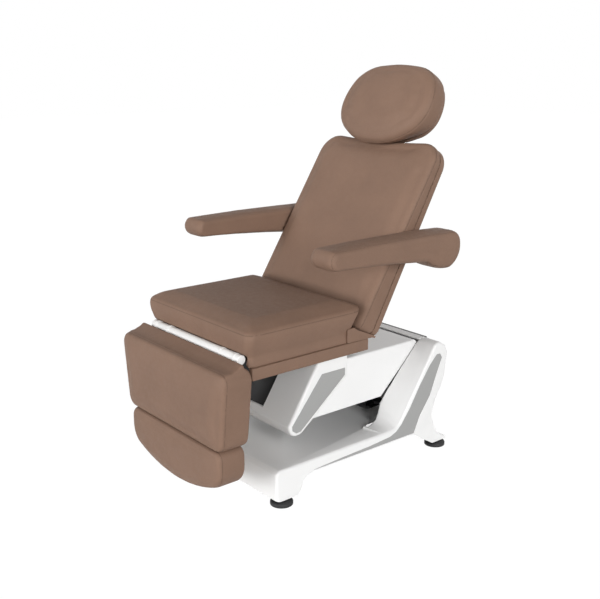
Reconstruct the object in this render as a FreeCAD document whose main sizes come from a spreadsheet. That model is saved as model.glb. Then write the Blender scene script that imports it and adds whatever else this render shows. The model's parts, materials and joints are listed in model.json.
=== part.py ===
import FreeCAD, Part
import math
import os
import re
import Sketcher
from FreeCAD import Placement, Rotation, Vector

# Beauty treatment chair. Millimetres. X runs across, Y from the leg end to the head end, Z up.
# Outlines are drawn with Y counted from the seat's front edge; each node's Placement then brings
# it to the middle of the chair.

SIZES = (
    ("centre_y", 445.475, "seat front to the middle of the chair"),
    ("base_width", 580, "base casing, across"),
    ("base_front_y", 108, "base casing, front face"),
    ("base_rear_y", 130, "tower, rear face at its top, behind the rear lower pivot"),
    ("base_top_z", 133, "floor plate, top"),
    ("shell_wall", 5, "base casing, wall"),
    ("skirt_z", 90, "base casing, lower edge at the sides"),
    ("tower_top_z", 421, "pylons, top"),
    ("channel_half", 208, "half of the channel between the pylons"),
    ("inset_deep", 3, "grey insets, depth"),
    ("foot_x", 25, "feet, in from the side of the base"),
    ("foot_front_y", 149, "front feet"),
    ("foot_rear_y", 27, "rear feet, ahead of the tower's rear face"),
    ("foot_radius", 39, "foot pads"),
    ("foot_high", 20, "foot pads"),
    ("stem_radius", 6, "foot stems"),
    ("rail_x", 154, "base rails, inner side"),
    ("rail_wide", 40, "base rails"),
    ("rail_high", 30, "base rails"),
    ("tube_wall", 3, "square tubes, wall"),
    ("link_length", 480, "lift links between pivots"),
    ("link_front_y", 320, "lower front pivot"),
    ("link_low_z", 278, "lower pivots"),
    ("link_rise", 94, "upper pivots above the lower ones"),
    ("link_lead", 40, "upper pivots behind the lower ones"),
    ("link_x", 164, "links, inner side"),
    ("link_thick", 12, "links"),
    ("low_link_half", 28, "lower links, half height"),
    ("up_link_half", 22, "upper links, half height"),
    ("shaft_radius", 10, "pivot shafts"),
    ("run_clear", 0.05, "running clearance, radial"),
    ("pass_clear", 0.5, "clearance round a pin in a cover"),
    ("tower_plate_x", 184, "tower plates, inner side"),
    ("plate_thick", 8, "tower and carriage plates"),
    ("carriage_plate_x", 150, "carriage plates, inner side"),
    ("cross_y", 540, "cross tube of the lower links"),
    ("cross_radius", 20, "cross tube of the lower links"),
    ("cover_half", 204, "arm cover, half width"),
    ("cover_wall", 4, "arm cover, wall"),
    ("cover_top_z", 420, "arm cover, top"),
    ("cover_low_z", 232, "arm cover, lower edge"),
    ("drive_y", 770, "lift drive, base pin"),
    ("drive_z", 160, "lift drive, base pin"),
    ("drive_eye_z", 330, "lift drive, upper pin"),
    ("drive_pin", 8, "lift drive, base pin radius"),
    ("drive_play", 3.1, "lift drive, play in the upper pivot"),
    ("motor_radius", 30, "lift drive, motor"),
    ("nose_half", 225, "nose casing, half width"),
    ("nose_wall", 6, "nose casing, wall"),
    ("nose_top_z", 466, "nose casing, top of its sides"),
    ("mouth_half", 63, "opening in the nose's front, half width"),
    ("mouth_low_z", 262, "opening in the nose's front, lower edge"),
    ("seat_width", 600, "seat cushion, across"),
    ("seat_top_z", 637, "seat cushion, top"),
    ("seat_low_z", 511, "seat cushion, underside"),
    ("seat_corner", 30, "seat cushion, corner radius in plan"),
    ("pan_half", 292, "seat pan, half width"),
    ("pan_low_z", 470, "seat pan, lower edge"),
    ("board_thick", 12, "boards"),
    ("seat_rail_x", 139, "seat rails, inner side"),
    ("seat_rail_wide", 30, "seat rails"),
    ("seat_rail_z", 449, "seat rails, underside"),
    ("leg_hinge_z", 535, "leg hinge"),
    ("hinge_bar_radius", 12.5, "leg hinge bar"),
    ("hinge_bar_half", 270, "leg hinge bar, half length"),
    ("back_hinge_y", 549.5, "back hinge"),
    ("back_hinge_z", 545, "back hinge"),
    ("back_lean", 29.5, "rear plane of the back, from upright"),
    ("back_wedge", 3, "front plane against the rear plane"),
    ("back_front", 92, "back hinge to the front plane"),
    ("back_rear", 17, "back hinge to the rear plane"),
    ("tray_deep", 29, "rear tray of the back"),
    ("back_half", 300, "back cushion, half width"),
    ("back_low", 38, "back cushion below the hinge"),
    ("back_high", 672, "back cushion above the hinge"),
    ("back_dip", 24, "back cushion, dip in its top edge"),
    ("shoulder", 80, "back cushion, shoulder radius"),
    ("head_half", 224, "headrest, half width"),
    ("head_low", 633, "headrest, lower edge above the back hinge"),
    ("head_tall", 318, "headrest, height"),
    ("head_tuck", 20, "headrest underside, rise towards its rear"),
    ("head_front", 121, "headrest front ahead of the back hinge"),
    ("head_rear", -5, "headrest rear behind the back hinge"),
    ("post_y", -14, "headrest posts, behind the back hinge"),
    ("post_x", 90, "headrest posts"),
    ("post_radius", 7, "headrest posts"),
    ("arm_pivot", 302, "armrest pivot above the back hinge"),
    ("arm_x", 306, "armrest core, inner side"),
    ("arm_outer", 420, "armrests, outer side"),
    ("arm_front_y", 225, "armrests, front end"),
    ("arm_rear_y", 828, "armrests, rear end"),
    ("arm_top_z", 873, "armrests, top"),
    ("arm_tall", 68, "armrests, height at the front"),
    ("arm_pin", 8, "armrest pins"),
    ("leg_half", 310, "leg cushion, half width at its top"),
    ("leg_half_low", 288, "leg cushion, half width at its foot"),
    ("leg_top_z", 516, "leg cushion, top"),
    ("leg_low_z", 252, "leg cushion, lower edge"),
    ("leg_front", 108, "leg cushion, front ahead of the hinge"),
    ("leg_rear", 7, "leg cushion, rear behind the hinge"),
    ("leg_arm_x", 225, "leg frame arms, inner side"),
    ("foot_half", 271, "foot cushion, half width"),
    ("foot_top_z", 250, "foot cushion, top"),
    ("foot_low_z", 74, "foot cushion, lowest point"),
    ("foot_front", 106, "foot cushion, front ahead of the hinge"),
    ("foot_rear", 3, "foot cushion, rear behind the hinge"),
    ("slide_x", 150, "foot slide rods"),
    ("slide_y", 13, "foot slide rods"),
    ("slide_radius", 8, "foot slide rods"),
    ("rod_z", 473, "leg and back drives, axis"),
    ("rod_x", 70, "leg and back drives, off centre"),
    ("rod_radius", 9, "leg and back drives, rods"),
    ("barrel_radius", 23.5, "leg and back drives, motors"),
    ("crank_pin", 6, "leg and back drives, pins"),
    ("leg_play", 4.6, "leg crank slot, play each side"),
    ("back_play", 3.2, "back crank slot, play each side"),
    ("leg_crank", 42.5, "leg crank at rest, degrees behind straight down"),
    ("back_crank", 23.75, "back crank at rest, degrees behind straight down"),
)

DOC = FreeCAD.newDocument("treatment_chair")
SHEET = DOC.addObject("Spreadsheet::Sheet", "Sizes")
for row, (alias, size, note) in enumerate(SIZES, start=1):
    SHEET.set("A%d" % row, str(size))
    SHEET.setAlias("A%d" % row, alias)
    SHEET.set("B%d" % row, note)
DOC.recompute()

NAMES = re.compile(r"\b(" + "|".join(alias for alias, size, note in SIZES) + r")\b")
NODES = []


class Named:
    """The sheet's values as numbers."""

    def __getattr__(self, alias):
        return float(SHEET.get(alias))


d = Named()


def expr(text):
    """An expression with each size taken from the sheet."""
    return NAMES.sub(r"Sizes.\1", str(text))


def bind(obj, prop, text):
    obj.setExpression(prop, expr(text))


def locate(obj, x, y, z):
    bind(obj, "Placement.Base.x", x)
    bind(obj, "Placement.Base.y", y)
    bind(obj, "Placement.Base.z", z)


# Primitives and booleans

def box(name, x, y, z, sx, sy, sz):
    """A box from its low corner and its three sizes."""
    obj = DOC.addObject("Part::Box", name)
    bind(obj, "Length", sx)
    bind(obj, "Width", sy)
    bind(obj, "Height", sz)
    locate(obj, x, y, z)
    return obj


TURNS = {
    "X": Rotation(Vector(0, 1, 0), 90),
    "Y": Rotation(Vector(1, 0, 0), -90),
    "Z": Rotation(),
}


def rod(name, axis, x, y, z, radius, length):
    """A cylinder that runs along an axis from a point."""
    obj = DOC.addObject("Part::Cylinder", name)
    obj.Placement = Placement(Vector(), TURNS[axis])
    bind(obj, "Radius", radius)
    bind(obj, "Height", length)
    locate(obj, x, y, z)
    return obj


def fuse(name, *parts):
    obj = DOC.addObject("Part::MultiFuse", name)
    obj.Shapes = list(parts)
    return obj


def cut(name, base, *tools):
    obj = DOC.addObject("Part::Cut", name)
    obj.Base = base
    obj.Tool = tools[0] if len(tools) == 1 else fuse(name + "_tools", *tools)
    return obj


def tube(name, x, y, z, sx, sy, sz, along):
    """A square tube that is open at both ends along X or Y."""
    outer = box(name + "_outer", x, y, z, sx, sy, sz)
    low = "(%s) + tube_wall"
    less = "(%s) - 2*tube_wall"
    if along == "X":
        inner = box(name + "_bore", "(%s) - 1" % x, low % y, low % z, "(%s) + 2" % sx, less % sy, less % sz)
    else:
        inner = box(name + "_bore", low % x, "(%s) - 1" % y, low % z, less % sx, "(%s) + 2" % sy, less % sz)
    return cut(name, outer, inner)


def prism(name, outline, start, depth, holes=()):
    """A body padded along X from an outline of Y and Z, with round holes."""
    body = DOC.addObject("PartDesign::Body", name)
    sketch = body.newObject("Sketcher::SketchObject", name + "_sketch")
    plane = [item for item in body.Origin.OriginFeatures if item.Role == "YZ_Plane"][0]
    sketch.AttachmentSupport = [(plane, "")]
    sketch.MapMode = "FlatFace"
    count = len(outline)
    turn = 2 * math.pi / count
    ring = [Vector(400 + 90 * math.cos(i * turn), 300 + 90 * math.sin(i * turn), 0) for i in range(count)]
    for i in range(count):
        sketch.addGeometry(Part.LineSegment(ring[i], ring[(i + 1) % count]), False)
    for i in range(count):
        sketch.addConstraint(Sketcher.Constraint("Coincident", i, 2, (i + 1) % count, 1))
    for i, (y, z) in enumerate(outline):
        pin_point(sketch, i, 1, ring[i], y, z)
    for y, z, radius in holes:
        centre = Vector(400, 300, 0)
        item = sketch.addGeometry(Part.Circle(centre, Vector(0, 0, 1), 5), False)
        index = sketch.addConstraint(Sketcher.Constraint("Radius", item, 5))
        bind(sketch, "Constraints[%d]" % index, radius)
        pin_point(sketch, item, 3, centre, y, z)
    bind(sketch, "AttachmentOffset.Base.z", start)
    pad = body.newObject("PartDesign::Pad", name + "_pad")
    pad.Profile = sketch
    bind(pad, "Length", depth)
    return body


def pin_point(sketch, item, end, guess, y, z):
    """Hold a sketch point at a Y and a Z."""
    for kind, first, text in (("DistanceX", guess.x, y), ("DistanceY", guess.y, z)):
        index = sketch.addConstraint(Sketcher.Constraint(kind, -1, 1, item, end, first))
        bind(sketch, "Constraints[%d]" % index, text)


def node(label, obj, x="0", y="-centre_y", z="0", lean=None):
    """Name a finished piece and give it its place."""
    obj.Label = label
    if lean is not None:
        obj.Placement = Placement(Vector(), Rotation(Vector(1, 0, 0), 1))
        bind(obj, "Placement.Rotation.Angle", lean)
    locate(obj, x, y, z)
    NODES.append((label, obj))
    return obj


def on_back(label, obj):
    """A piece of the back, drawn about the back hinge with the back upright."""
    return node(label, obj, "0", "back_hinge_y - centre_y", "back_hinge_z", "-back_lean")


def solid(label, shape):
    """A shape that neither a primitive nor a padded sketch can give."""
    obj = DOC.addObject("Part::Feature", label)
    obj.Shape = shape
    return obj


# Lofts

def ring_wire(parts):
    """A closed wire of lines (two points) and arcs (three points)."""
    edges = []
    for part in parts:
        if len(part) == 2:
            edges.append(Part.makeLine(part[0], part[1]))
        else:
            edges.append(Part.Arc(part[0], part[1], part[2]).toShape())
    return Part.Wire(edges)


def polygon(points):
    return Part.makePolygon(points + [points[0]])


def loft(wires):
    return Part.makeLoft(wires, True, True)


def corner(cx, cz, radius, start):
    """Three points of a quarter arc, its start in degrees."""
    return [(cx + radius * math.cos(math.radians(start + step)),
             cz + radius * math.sin(math.radians(start + step))) for step in (0, 45, 90)]


def round_box(x0, x1, y0, y1, radius):
    """Lines and corner arcs of a rounded rectangle."""
    a = corner(x1 - radius, y0 + radius, radius, 270)
    b = corner(x1 - radius, y1 - radius, radius, 0)
    c = corner(x0 + radius, y1 - radius, radius, 90)
    e = corner(x0 + radius, y0 + radius, radius, 180)
    return [a, (a[2], b[0]), b, (b[2], c[0]), c, (c[2], e[0]), e, (e[2], a[0])]


def lift(parts, to_space):
    return ring_wire([[to_space(*point) for point in part] for part in parts])


def inset(points, gap):
    """An outline moved inward all round, for points in counter-clockwise order."""
    moved = []
    count = len(points)
    for i in range(count):
        (ax, ay), (bx, by), (cx, cy) = points[i - 1], points[i], points[(i + 1) % count]
        ux, uy = bx - ax, by - ay
        vx, vy = cx - bx, cy - by
        ul, vl = math.hypot(ux, uy), math.hypot(vx, vy)
        ux, uy, vx, vy = ux / ul, uy / ul, vx / vl, vy / vl
        nx, ny = -(uy + vy), ux + vx
        scale = gap / (nx * -uy + ny * ux) if abs(nx * -uy + ny * ux) > 1e-6 else 0
        moved.append((bx + nx * scale, by + ny * scale))
    return moved


def bar(outline, x0, x1):
    """A straight solid between two X values."""
    face = Part.Face(polygon([Vector(x0, y, z) for y, z in outline]))
    return face.extrude(Vector(x1 - x0, 0, 0))


# Base frame

TOWER_REAR = "(link_front_y + link_length + base_rear_y)"
TOWER_LIP = "(base_front_y + (900 - 108)*(%s - base_front_y)/822)" % TOWER_REAR
FOOT_AT = "(base_width/2 - foot_x)"
REAR_FEET = "(%s - foot_rear_y)" % TOWER_REAR

frame_parts = []
for side, start in (("left", "-(rail_x + rail_wide)"), ("right", "rail_x")):
    frame_parts.append(tube("rail_" + side, start, "foot_front_y - 20", "base_top_z - shell_wall - rail_high",
                            "rail_wide", "719 + %s - 930" % TOWER_REAR, "rail_high", "Y"))
for name, y, half in (("front", "foot_front_y - 20", FOOT_AT + " + 15"), ("mid", "drive_y - 20", "rail_x + 1"),
                      ("rear", TOWER_REAR + " - 122", FOOT_AT + " + 15")):
    frame_parts.append(tube("cross_" + name, "-(%s)" % half, y, "base_top_z - shell_wall - rail_high",
                            "2*(%s)" % half, "40", "rail_high", "X"))
for side, sign in (("left", "-"), ("right", "")):
    at = sign + FOOT_AT
    toe = [("%s - %d" % (TOWER_REAR, 930 - y), z) for y, z in (
        (818, "56"), (845, "41"), (872, "27"), (915, "27"), (915, "32"), (903, "36"), (882, "51"), (861, "73"),
        (846, "base_top_z - shell_wall - rail_high + 2"), (810, "base_top_z - shell_wall - rail_high + 2"))]
    frame_parts.append(prism("toe_" + side, toe, at + " - 16", "32"))
    frame_parts.append(box("drive_lug_" + side, "-42" if sign else "34", "drive_y - 22",
                           "base_top_z - shell_wall - 4", "8", "44", "drive_z - base_top_z + shell_wall + 24"))
base_frame = cut("base_frame_bored", fuse("base_frame_welded", *frame_parts),
                 rod("drive_pin_hole", "X", "-60", "drive_y", "drive_z", "drive_pin + 0.02", "120"))
node("base_frame", base_frame)
node("lift_base_pin", rod("lift_base_pin", "X", "0", "0", "0", "drive_pin", "90"),
     "-45", "drive_y - centre_y", "drive_z")

for side, start in (("left", "-(tower_plate_x + plate_thick)"), ("right", "tower_plate_x")):
    rear = "link_front_y + link_length"
    plate = prism("tower_plate_" + side, [
        (rear + " - 48", "base_top_z - shell_wall"), (rear + " + 45", "base_top_z - shell_wall"),
        (rear + " + 50", "190"), (rear + " + link_lead + 30", "link_low_z + link_rise - 40"),
        (rear + " + link_lead + 28", "link_low_z + link_rise + 18"),
        (rear + " + link_lead + 12", "link_low_z + link_rise + 25"),
        (rear + " + link_lead - 24", "link_low_z + link_rise + 24"), (rear + " - 30", "link_low_z + 32"),
        (rear + " - 48", "link_low_z - 18")], start, "plate_thick",
        [(rear, "link_low_z", "shaft_radius + 0.02"),
         (rear + " + link_lead", "link_low_z + link_rise", "shaft_radius + 0.02")])
    node("tower_plate_" + side, plate)

node("rear_lower_shaft", rod("rear_lower_shaft", "X", "0", "0", "0", "shaft_radius",
                             "2*(tower_plate_x + plate_thick + 1)"),
     "-(tower_plate_x + plate_thick + 1)", "link_front_y + link_length - centre_y", "link_low_z")
node("rear_upper_shaft", rod("rear_upper_shaft", "X", "0", "0", "0", "shaft_radius",
                             "2*(tower_plate_x + plate_thick + 1)"),
     "-(tower_plate_x + plate_thick + 1)", "link_front_y + link_length + link_lead - centre_y",
     "link_low_z + link_rise")

pads, stems = [], []
for i, (sign, y, top) in enumerate((("-", "foot_front_y", 98), ("", "foot_front_y", 98),
                                    ("-", REAR_FEET, 26), ("", REAR_FEET, 26))):
    at = sign + FOOT_AT
    low = rod("pad_low_%d" % i, "Z", at, y, "0", "foot_radius", "foot_high - 7")
    high = DOC.addObject("Part::Cone", "pad_high_%d" % i)
    bind(high, "Radius1", "foot_radius")
    bind(high, "Radius2", "foot_radius - 9")
    bind(high, "Height", "7")
    locate(high, at, y, "foot_high - 7")
    pads.append(fuse("pad_%d" % i, low, high))
    reach = "base_top_z - shell_wall - rail_high - foot_high" if top > 50 else "27 - foot_high"
    stem = rod("stem_%d" % i, "Z", at, y, "foot_high", "stem_radius", reach)
    nut = DOC.addObject("Part::Prism", "nut_%d" % i)
    nut.Polygon = 6
    bind(nut, "Circumradius", "stem_radius + 5")
    bind(nut, "Height", "9" if top > 50 else "5")
    locate(nut, at, y, "base_top_z - shell_wall - rail_high - 9" if top > 50 else "22")
    stems.append(fuse("stem_nut_%d" % i, stem, nut))
node("leveling_feet", fuse("leveling_feet", *pads))
node("foot_stems", fuse("foot_stems", *stems))
node("control_box", box("control_box", "0", "0", "0", "220", "230", "30"),
     "-110", "250 - centre_y", "base_top_z - shell_wall - 30.5")

# Base casing


def base_y(y):
    """A measured Y of the casing, stretched with its front and rear."""
    rear = d.link_front_y + d.link_length + d.base_rear_y
    return d.base_front_y + (y - 108) * (rear - d.base_front_y) / 822


def base_z(z):
    """A measured Z of the casing, stretched with its floor plate and tower."""
    if z > 133:
        return d.base_top_z + (z - 133) * (d.tower_top_z - d.base_top_z) / 288
    return z * d.base_top_z / 133


def base_outline(points):
    return [(base_y(y), base_z(z)) for y, z in points]


half = d.base_width / 2
skirt = d.skirt_z / d.base_top_z * 133
floor_line = base_outline([
    (108, 36), (212, 36), (214, 50), (221, 70), (236, 84), (266, skirt), (757, skirt - 2), (812, 52),
    (868, 27), (942, 27), (942, 33), (914, 40), (887, 58), (866, 92), (858, 118), (857, 133),
    (126, 133), (114, 129), (108, 118)])
rear_line = [(886, 421), (916, 405), (930, 373), (919, 283), (900, 240), (873, 194), (857, 140), (857, 118)]
outer_line = base_outline([(620, 118), (620, 133), (660, 136), (692, 152), (742, 228), (806, 330), (858, 412),
                           (870, 421)] + rear_line)
inner_line = base_outline([(648, 118), (648, 142), (648, 182), (652, 216), (692, 262), (770, 343), (842, 414),
                           (856, 420)] + rear_line)
shell = bar(floor_line, -half, half)
for sign in (-1, 1):
    pylon = loft([polygon([Vector(sign * d.channel_half, y, z) for y, z in inner_line]),
                  polygon([Vector(sign * half, y, z) for y, z in outer_line])])
    shell = shell.fuse(pylon)
wall_line = base_outline([(900, 420), (900, 414), (911, 402), (924, 372), (913.5, 285), (895, 242), (868, 196),
                          (852, 141), (852, 118), (857, 118), (857, 140), (873, 194), (900, 240), (919, 283),
                          (930, 373), (916, 405)])
shell = shell.fuse(bar(wall_line, -d.channel_half - 1, d.channel_half + 1))
shell = shell.cut(bar([(base_y(720), -30), (base_y(852), -30), (base_y(852), base_z(133) + 1),
                       (base_y(720), base_z(133) + 1)], -d.channel_half, d.channel_half))
under = bar([(base_front, z) for base_front, z in (
    (base_y(113), -20), (base_y(207), -20), (base_y(209), base_z(54)), (base_y(217), base_z(75)),
    (base_y(236), base_z(84) - 30), (base_y(760), base_z(84) - 40), (base_y(815), -20), (base_y(932), -20),
    (base_y(930), base_z(31)), (base_y(908), base_z(36)), (base_y(882), base_z(55)), (base_y(861), base_z(90)),
    (base_y(852), base_z(117)), (base_y(851), d.base_top_z - d.shell_wall),
    (base_y(128), d.base_top_z - d.shell_wall), (base_y(117), base_z(124)), (base_y(113), base_z(116)))],
    -half + 6, half - 6)
shell = shell.cut(under)
outer_void = inset(outer_line[::-1], d.shell_wall)[::-1]
inner_void = inset(inner_line[::-1], d.shell_wall)[::-1]
for line in (outer_void, inner_void):
    line[0] = (line[0][0], 60)
    line[-1] = (line[-1][0], 60)
for sign in (-1, 1):
    shell = shell.cut(loft([
        polygon([Vector(sign * (d.channel_half + d.shell_wall), y, z) for y, z in inner_void]),
        polygon([Vector(sign * (half - 6), y, z) for y, z in outer_void])]))
inset_line = base_outline([
    (270, 93), (757, 92), (788, 156), (839, 223), (868, 295), (897, 360), (886, 376), (868, 378), (832, 343),
    (782, 276), (732, 198), (692, 146), (664, 124), (632, 112), (531, 105), (400, 101), (310, 97), (270, 94.5)])
for sign in (-1, 1):
    shell = shell.cut(bar(inset_line, sign * (half - d.inset_deep), sign * (half + 1)))
inlet = Part.makeBox(50, 60, 30, Vector(-25, base_y(834), base_z(150)))
shell = shell.cut(inlet)
node("base_shell", solid("base_shell", shell.removeSplitter()))
panel_line = inset(inset_line, 0.4)
for side, sign in (("left", -1), ("right", 1)):
    panel = bar(panel_line, sign * (half - d.inset_deep), sign * (half - 0.4))
    node("side_inset_" + side, solid("side_inset_" + side, panel))
inlet_outer = Part.makeBox(49.4, base_y(872) - base_y(838), 29.4, Vector(-24.7, base_y(838), base_z(150) + 0.3))
inlet_cup = Part.makeBox(30, 20, 20, Vector(-15, base_y(854), base_z(150) + 5))
node("power_inlet", solid("power_inlet", inlet_outer.cut(inlet_cup)))
node("tower_cap", box("tower_cap", "0", "0", "0", "2*channel_half - 1", "36.5", "4"), "0.5 - channel_half",
     TOWER_LIP + " - 44 - centre_y", "tower_top_z - 5")
node("tower_seal", box("tower_seal", "0", "0", "0", "2*channel_half - 1", "6.8", "12"), "0.5 - channel_half",
     TOWER_LIP + " - 7.3 - centre_y", "tower_top_z - 12")

# Lift links and arm cover


def link(name, start, y, z, half_high):
    body = box(name + "_bar", start, y, "(%s) - %s" % (z, half_high), "link_thick", "link_length",
               "2*" + half_high)
    front = rod(name + "_front", "X", start, y, z, half_high, "link_thick")
    rear_end = rod(name + "_rear", "X", start, "(%s) + link_length" % y, z, half_high, "link_thick")
    bores = [rod("%s_bore_%d" % (name, i), "X", "(%s) - 1" % start, at, z, "shaft_radius + run_clear",
                 "link_thick + 2") for i, at in enumerate((y, "(%s) + link_length" % y))]
    return cut(name, fuse(name + "_whole", body, front, rear_end), *bores)


for side, start in (("left", "-(link_x + link_thick)"), ("right", "link_x")):
    node("lower_link_" + side, link("lower_link_" + side, start, "link_front_y", "link_low_z", "low_link_half"))
    node("upper_link_" + side, link("upper_link_" + side, start, "link_front_y + link_lead",
                                    "link_low_z + link_rise", "up_link_half"))

cross = cut("arm_cross_hollow",
            rod("arm_cross_outer", "X", "-link_x", "cross_y", "link_low_z", "cross_radius", "2*link_x"),
            rod("arm_cross_bore", "X", "-link_x - 1", "cross_y", "link_low_z", "cross_radius - 4", "2*link_x + 2"))
lugs = []
for side, start in (("left", "-24"), ("right", "16")):
    plate = box("arm_lug_bar_" + side, start, "cross_y - 18", "link_low_z + cross_radius - 4", "8", "36",
                "drive_eye_z - link_low_z - cross_radius + 4")
    eye = rod("arm_lug_eye_" + side, "X", start, "cross_y", "drive_eye_z", "18", "8")
    lugs.append(fuse("arm_lug_" + side, plate, eye))
cross = cut("arm_cross_tube", fuse("arm_cross_welded", cross, *lugs),
            rod("arm_lug_hole", "X", "-30", "cross_y", "drive_eye_z", "7 + drive_play", "60"))
node("arm_cross_tube", cross)
upper_bar = cut("upper_cross_bar",
                rod("upper_bar_outer", "X", "-link_x", "cross_y + 100", "link_low_z + link_rise", "15", "2*link_x"),
                rod("upper_bar_bore", "X", "-link_x - 1", "cross_y + 100", "link_low_z + link_rise", "12",
                    "2*link_x + 2"))
node("upper_cross_bar", upper_bar)

rear = "(link_front_y + link_length)"
cover_line = [("link_front_y - 35", "cover_low_z"), (rear + " - 135", "cover_low_z"),
              (rear + " + 50", "cover_top_z - 20"), (rear + " + 50", "cover_top_z - 9"),
              (rear + " + 38", "cover_top_z"), ("link_front_y + 132", "cover_top_z"),
              ("link_front_y + 132", "cover_low_z + 132")]
cover_outer = prism("cover_outer", cover_line, "-cover_half", "2*cover_half")
cover_inner = prism("cover_inner", [
    ("link_front_y - 120", "cover_low_z - 60"), (rear + " + 150", "cover_low_z - 60"),
    (rear + " + 150", "cover_top_z - cover_wall"), ("link_front_y - 120", "cover_top_z - cover_wall")],
    "cover_wall - cover_half", "2*(cover_half - cover_wall)")
bosses = []
for i, at in enumerate(("link_front_y + 110", rear + " - 110")):
    for side, start in (("left", "-(cover_half - cover_wall + 1)"), ("right", "link_x + link_thick")):
        bosses.append(rod("cover_boss_%s_%d" % (side, i), "X", start, at, "link_low_z", "10",
                          "cover_half - cover_wall + 1 - link_x - link_thick"))
node("arm_cover", fuse("arm_cover", cut("cover_hollow", cover_outer, cover_inner), *bosses))

# Carriage

for side, start in (("left", "-(carriage_plate_x + plate_thick)"), ("right", "carriage_plate_x")):
    front = "link_front_y"
    top = "link_low_z + link_rise"
    plate = prism("carriage_plate_" + side, [
        (front + " - 26", "link_low_z - 8"), (front + " - 15", "link_low_z - 24"),
        (front + " + 10", "link_low_z - 28"), (front + " + 27", "link_low_z - 16"),
        (front + " + link_lead + 32", top + " - 20"), (front + " + 120", "seat_rail_z"),
        (front + " + 50", "seat_rail_z"), (front + " + link_lead - 28", top + " + 14"),
        (front + " - 14", "link_low_z + 52")], start, "plate_thick",
        [(front, "link_low_z", "shaft_radius + 0.02"), (front + " + link_lead", top, "shaft_radius + 0.02")])
    node("carriage_plate_" + side, plate)
for name, lead, rise in (("lower", "0", "0"), ("upper", "link_lead", "link_rise")):
    node("front_%s_shaft" % name, rod("front_%s_shaft" % name, "X", "0", "0", "0", "shaft_radius",
                                      "2*(link_x + link_thick + 2)"),
         "-(link_x + link_thick + 2)", "link_front_y + %s - centre_y" % lead, "link_low_z + " + rise)

frame_parts = []
for side, sign in (("left", -1), ("right", 1)):
    start = "seat_rail_x" if sign > 0 else "-(seat_rail_x + seat_rail_wide)"
    lug = "148" if sign > 0 else "-160"
    frame_parts.append(tube("seat_rail_" + side, start, "20", "seat_rail_z", "seat_rail_wide",
                            "back_hinge_y + 1.5", "seat_low_z - board_thick - seat_rail_z", "Y"))
    frame_parts.append(box("back_lug_" + side, lug, "back_hinge_y - 21", "seat_rail_z", "12", "42",
                           "back_hinge_z - seat_rail_z"))
    frame_parts.append(rod("back_eye_" + side, "X", lug, "back_hinge_y", "back_hinge_z", "21", "12"))
    frame_parts.append(rod("leg_eye_" + side, "X", lug, "0", "leg_hinge_z", "hinge_bar_radius + 4", "12"))
    frame_parts.append(box("leg_reach_" + side, lug, "5", "leg_hinge_z - 14", "12", "24.5", "28"))
    frame_parts.append(box("leg_riser_" + side, lug, "20", "seat_rail_z", "12", "9.5",
                           "leg_hinge_z + 14 - seat_rail_z"))
for i, at in enumerate(("80", "300", "445")):
    frame_parts.append(box("seat_flat_%d" % i, "-(seat_rail_x + seat_rail_wide)", at, "seat_rail_z - 12",
                           "2*(seat_rail_x + seat_rail_wide)", "50", "12.2"))
seat_frame = cut("seat_frame_bored", fuse("seat_frame_welded", *frame_parts),
                 rod("back_shaft_hole", "X", "-200", "back_hinge_y", "back_hinge_z", "shaft_radius + 0.02", "400"),
                 rod("leg_bar_hole", "X", "-200", "0", "leg_hinge_z", "hinge_bar_radius + 0.02", "400"))
node("seat_frame", seat_frame)
node("leg_hinge_bar", rod("leg_hinge_bar", "X", "0", "0", "0", "hinge_bar_radius", "2*hinge_bar_half"),
     "-hinge_bar_half", "-centre_y", "leg_hinge_z")
node("back_hinge_shaft", fuse("back_hinge_shaft",
     rod("back_shaft_left", "X", "-184", "back_hinge_y", "back_hinge_z", "shaft_radius", "38"),
     rod("back_shaft_right", "X", "146", "back_hinge_y", "back_hinge_z", "shaft_radius", "38")))

pan_parts = [box("pan_board", "-(pan_half - 6)", "66", "seat_low_z - board_thick", "2*(pan_half - 6)", "424",
                 "board_thick")]
for side, start in (("left", "-pan_half"), ("right", "pan_half - 20")):
    pan_parts.append(box("pan_skirt_" + side, start, "16", "pan_low_z", "20", "496", "seat_low_z - pan_low_z"))
node("seat_pan", fuse("seat_pan", *pan_parts))

tip = [(213.5, 240), (215, 226), (222, 212), (234, 202), (248, 198), (262, 199), (274, 203)]
nose_line = [("link_front_y + %g" % (y - 320), "link_low_z + %g" % (z - 278)) for y, z in tip]
nose_line = nose_line + [("link_front_y + 3", "link_low_z - 37"), ("link_front_y + 160", "link_low_z + 86"),
                         ("link_front_y + 160", "nose_top_z"),
                         ("link_front_y + 40 + (nose_top_z - 466)*0.675", "nose_top_z")]
nose_outer = prism("nose_outer", nose_line, "-nose_half", "2*nose_half")
hollow = [(222, 238), (223.5, 228), (229, 217), (238, 208.5), (249, 204), (262, 205), (300, 190), (560, 280),
          (560, 520), (406, 520)]
nose_inner = prism("nose_inner", [("link_front_y + %g" % (y - 320), "link_low_z + %g" % (z - 278))
                                  for y, z in hollow], "nose_wall - nose_half", "2*(nose_half - nose_wall)")
nose_gate = box("nose_gate", "-(seat_rail_x + seat_rail_wide + 7)", "200", "seat_rail_z - 12.5",
                "2*(seat_rail_x + seat_rail_wide + 7)", "400", "200")
nose_mouth = box("nose_mouth", "-mouth_half", "link_front_y - 120", "mouth_low_z", "2*mouth_half", "157",
                 "nose_top_z - mouth_low_z + 1")
recess = [(359, 398), (466, 398), (466, 371), (322, 257), (266, 213), (246, 211), (229, 223), (228, 240)]
recess_line = [("link_front_y + %g" % (y - 320), "link_low_z + %g" % (z - 278)) for y, z in recess]
pockets = [prism("nose_recess_left", recess_line, "-nose_half - 1", "inset_deep + 1"),
           prism("nose_recess_right", recess_line, "nose_half - inset_deep", "inset_deep + 1")]
node("nose_shell", cut("nose_shell", nose_outer, nose_inner, nose_gate, nose_mouth, *pockets))
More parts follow.
